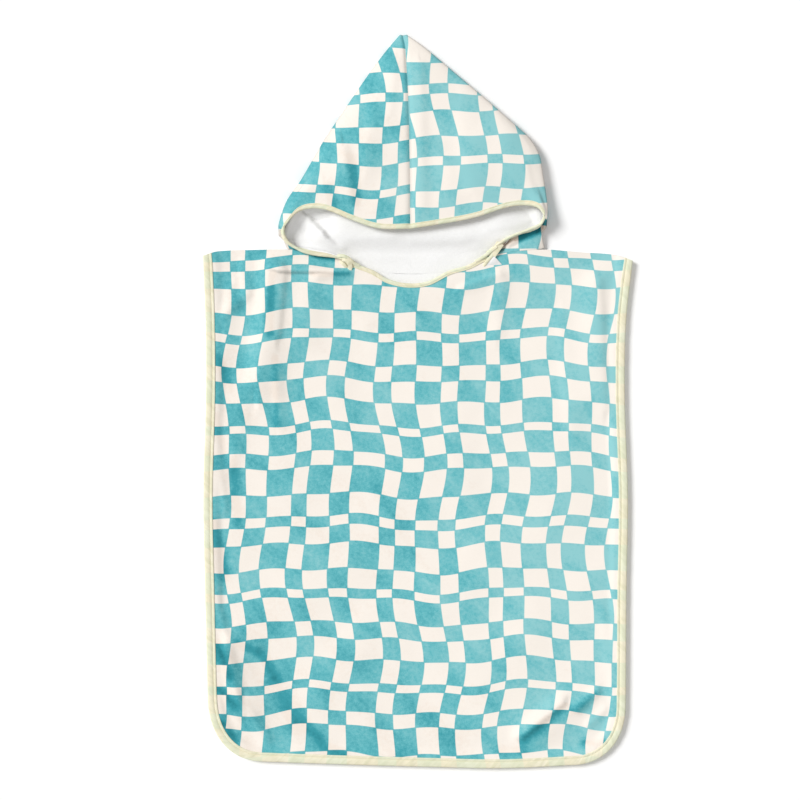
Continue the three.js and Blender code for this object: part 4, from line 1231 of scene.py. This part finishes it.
# %% Sewing thread
def sewing_thread():
    material, tree = node_tree("sewing thread")
    grain = add(tree, "ShaderNodeUVMap", uv_map="grain").outputs[0]
    twist = add(tree, "ShaderNodeTexWave", {"Vector": grain, "Scale": 700.0}, bands_direction="DIAGONAL")
    bump = add(tree, "ShaderNodeBump", {"Strength": 0.3, "Distance": 0.0001, "Height": twist.outputs[1]})
    colour = blend_colour(tree, twist.outputs[1], srgb(0.90, 0.86, 0.72), srgb(0.95, 0.92, 0.80))
    surface(tree, colour, 0.6, bump.outputs[0])
    return material


PRINT, LOOPS, TAPE_COTTON, THREAD_COTTON = printed_velour(), white_loops(), bias_cotton(), sewing_thread()


# %% [markdown]
# Under a lip or a tape a shadow is painted into the colour, much deeper than the rest. Each band below
# runs along such an edge, on its right as one walks along it. Beside a fold, shade is painted in as well.

# %% Painted shadow under lips and tapes, painted shade beside folds
SHADOW_BANDS = {  # from x, y to x, y, width at both ends, depth
    "hood_right_cloth": [(98, 208, 133, 231, 6, 12, 2.6), (133, 231, 175, 257, 12, 24, 4.0)],
    "front_cloth": [
        (44, 181, 97, 203, 6, 9, 0.9), (-168, 213, -141, 206, 3, 6, 0.8),
        (-141, 206, -104, 199, 7, 8, 1.2),
    ],
}
# Painted shade beside folds.
FOLD_SHADE = {  # from x, y to x, y, two widths, depth
    "front_cloth": [
        (-203, 178, -207, 96, 5, 7, 0.7), (-200, 60, -198, -34, 5, 6, 0.5),
        (-258, -80, -254, -170, 9, 5, 0.45), (-146, 178, -98, 179, 3, 4, 0.9),
        (-280, -338, -262, -382, 5, 8, 0.9), (-252, -338, -222, -352, 6, 6, 0.8),
        (-214, -362, -200, -388, 8, 6, 0.6), (-280, -400, -255, -425, 5, 8, 0.8),
        (-274, -447, -256, -472, 4, 6, 0.9), (-196, -395, -170, -445, 16, 16, 0.5),
        (-160, -455, -138, -470, 8, 8, 0.7), (-134, -482, -104, -494, 9, 9, 0.6),
        (146, -472, 204, -424, 5, 9, 1.0), (216, -432, 246, -408, 5, 8, 0.8),
        (232, -478, 258, -476, 6, 8, 0.8), (118, -486, 150, -488, 6, 10, 0.5),
        (20, -440, 60, -470, 14, 10, 0.3), (-60, -120, -20, -170, 12, 20, 0.25),
        (-276, 60, -262, 20, 5, 8, 0.5), (-284, -20, -270, -70, 5, 8, 0.5),
        (-284, -170, -268, -240, 5, 9, 0.6),
    ],
    "hood_left_cloth": [(-92, 340, -84, 282, 6, 10, 0.6), (-128, 300, -116, 276, 6, 10, 0.5)],
}


FOOT_TOP, FOOT_FADE = 0.22, 0.2
DRIFT = 0.12
STEEP_FROM, STEEP_SPAN = 0.98, 0.38


# Painted shadow under lips and tapes, and painted shade beside folds, as one value.
def painted_shade(name, x, y):
    total = ridge_height(x, y, FOLD_SHADE.get(name, []))
    for ax, ay, bx, by, start, end, depth in SHADOW_BANDS.get(name, []):
        length = math.hypot(bx - ax, by - ay)
        ahead = ((x - ax) * (bx - ax) + (y - ay) * (by - ay)) / length**2
        aside = ((x - ax) * (by - ay) - (y - ay) * (bx - ax)) / length
        inside = smooth((ahead + 0.08) / 0.06) * smooth((1.0 - ahead) / 0.06) * (aside > -3)
        width = mix(start, end, np.clip(ahead, 0, 1))
        total = np.maximum(total, inside * depth * smooth(1.15 - aside / width))
    return total


def paint_shade_and_sheen(cloth, left, right, low):
    """Painted sheen and shade: a level at the left edge and at the right edge, with more shade at the foot.
    """
    mesh = cloth.data
    x = np.array([vertex.co.x for vertex in mesh.vertices])
    y = np.array([vertex.co.y for vertex in mesh.vertices])
    share = (x - x.min()) / (x.max() - x.min())
    drift = DRIFT * np.sin(x / 0.071 + 1.3 * np.sin(y / 0.11)) * np.sin(y / 0.093 + 0.7)
    foot = smooth((y.min() + FOOT_TOP - y) / FOOT_FADE)
    nap = np.clip(mix(left, right, share) + low * foot + drift, 0, 1) + painted_shade(cloth.name, x / MM, y / MM)
    nap = nap.astype(np.float32)
    mesh.attributes.new("nap", "FLOAT", "POINT").data.foreach_set("value", nap)
    # Where the cloth turns down steeply, shade is painted in, more the steeper it is
    upright = np.array([abs(vertex.normal.z) for vertex in mesh.vertices])
    slope_shade = np.clip((STEEP_FROM - upright) / STEEP_SPAN, 0, 1).astype(np.float32)
    mesh.attributes.new("slope_shade", "FLOAT", "POINT").data.foreach_set("value", slope_shade)


# Painted shade and sheen per piece: a higher value is darker, a lower one lighter.
SHADE_AND_SHEEN = [  # cloth, left edge, right edge, more at the foot
    (front_panel, 0.64, 0.06, 0.16), (back_panel, 0.45, 0.45, 0),
    (hood_left, 0.42, 0.38, 0), (hood_right, 0.12, 0.0, 0), (flap, 0, 0, 0),
]

# %% Give every piece its painted shade and sheen, and its materials
for cloth, left, right, low in SHADE_AND_SHEEN:
    paint_shade_and_sheen(cloth, left, right, low)
    faces = np.zeros(len(cloth.data.polygons), np.int32)
    cloth.data.polygons.foreach_get("material_index", faces)
    cloth.data.materials.clear()
    cloth.data.materials.append(PRINT)
    cloth.data.materials.append(LOOPS)
    cloth.data.polygons.foreach_set("material_index", faces)
    print(cloth.name, "printed faces", int((faces == 0).sum()), "white faces", int((faces == 1).sum()))
join_to(hood_right, [flap])
for tape in (front_tape, back_tape, neck_tape, face_tape):
    tape.data.materials.append(TAPE_COTTON)
for tape, thread in threads:
    thread.data.materials.append(THREAD_COTTON)
    join_to(tape, [thread])

# %% [markdown]
# ## What each piece stands for
#
# The fine pieces take the place of the frame's plain ones.

# %% Ride and replace
for piece, node, slot in (
        (front_panel, "front_panel", "printed_terry"), (back_panel, "back_panel", "printed_terry"),
        (hood_left, "hood_left", "printed_terry"), (hood_right, "hood_right", "printed_terry"),
        (front_tape, "front_binding", "bias_tape"), (back_tape, "back_binding", "bias_tape"),
        (neck_tape, "neck_binding", "bias_tape"), (face_tape, "face_binding", "bias_tape")):
    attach(piece, "root")
    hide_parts(node)

# %% [markdown]
# ## Floor, light and camera
#
# The floor is a plain white sweep. A soft sun stands to the upper left and a weak, broad one below,
# and a white sky fills the rest, so shadows are short and soft. The camera looks straight down.

# %% Stage
deselect()
bpy.ops.mesh.primitive_plane_add(size=40, location=(0, 0, -0.0002))
floor = bpy.context.object
floor.name = "floor"
floor_paint, floor_tree = node_tree("floor white")
surface(floor_tree, (0.97, 0.97, 0.97, 1), 0.9)
floor.data.materials.append(floor_paint)

world = bpy.data.worlds.new("white sky")
bpy.context.scene.world = world
world.use_nodes = True
sky = world.node_tree.nodes["Background"]
sky.inputs["Color"].default_value = (1, 0.99, 0.975, 1)
sky.inputs["Strength"].default_value = 0.45


def sun(place, power, spread):
    deselect()
    bpy.ops.object.light_add(type="SUN", location=place)
    lamp = bpy.context.object
    lamp.data.energy, lamp.data.angle = power, math.radians(spread)
    lamp.rotation_euler = (-Vector(place)).to_track_quat("-Z", "Y").to_euler()


sun((-2.3, 1.15, 2.1), power=2.8, spread=23)
sun((0.5, -2.2, 1.8), power=0.3, spread=60)

LENS, SENSOR, FIELD = 85.0, 36.0, 1.12
VIEW_CENTRE = (-0.0252, 0.0021)
bpy.ops.object.camera_add(location=(*VIEW_CENTRE, FIELD * LENS / SENSOR + FRONT_LEVEL * MM))
camera = bpy.context.object
camera.rotation_euler = (0, 0, 0)
camera.data.lens, camera.data.sensor_width = LENS, SENSOR
bpy.context.scene.camera = camera
bpy.context.scene.view_settings.view_transform = "Standard"
print("camera", round(camera.location.z, 2), "m above the floor")
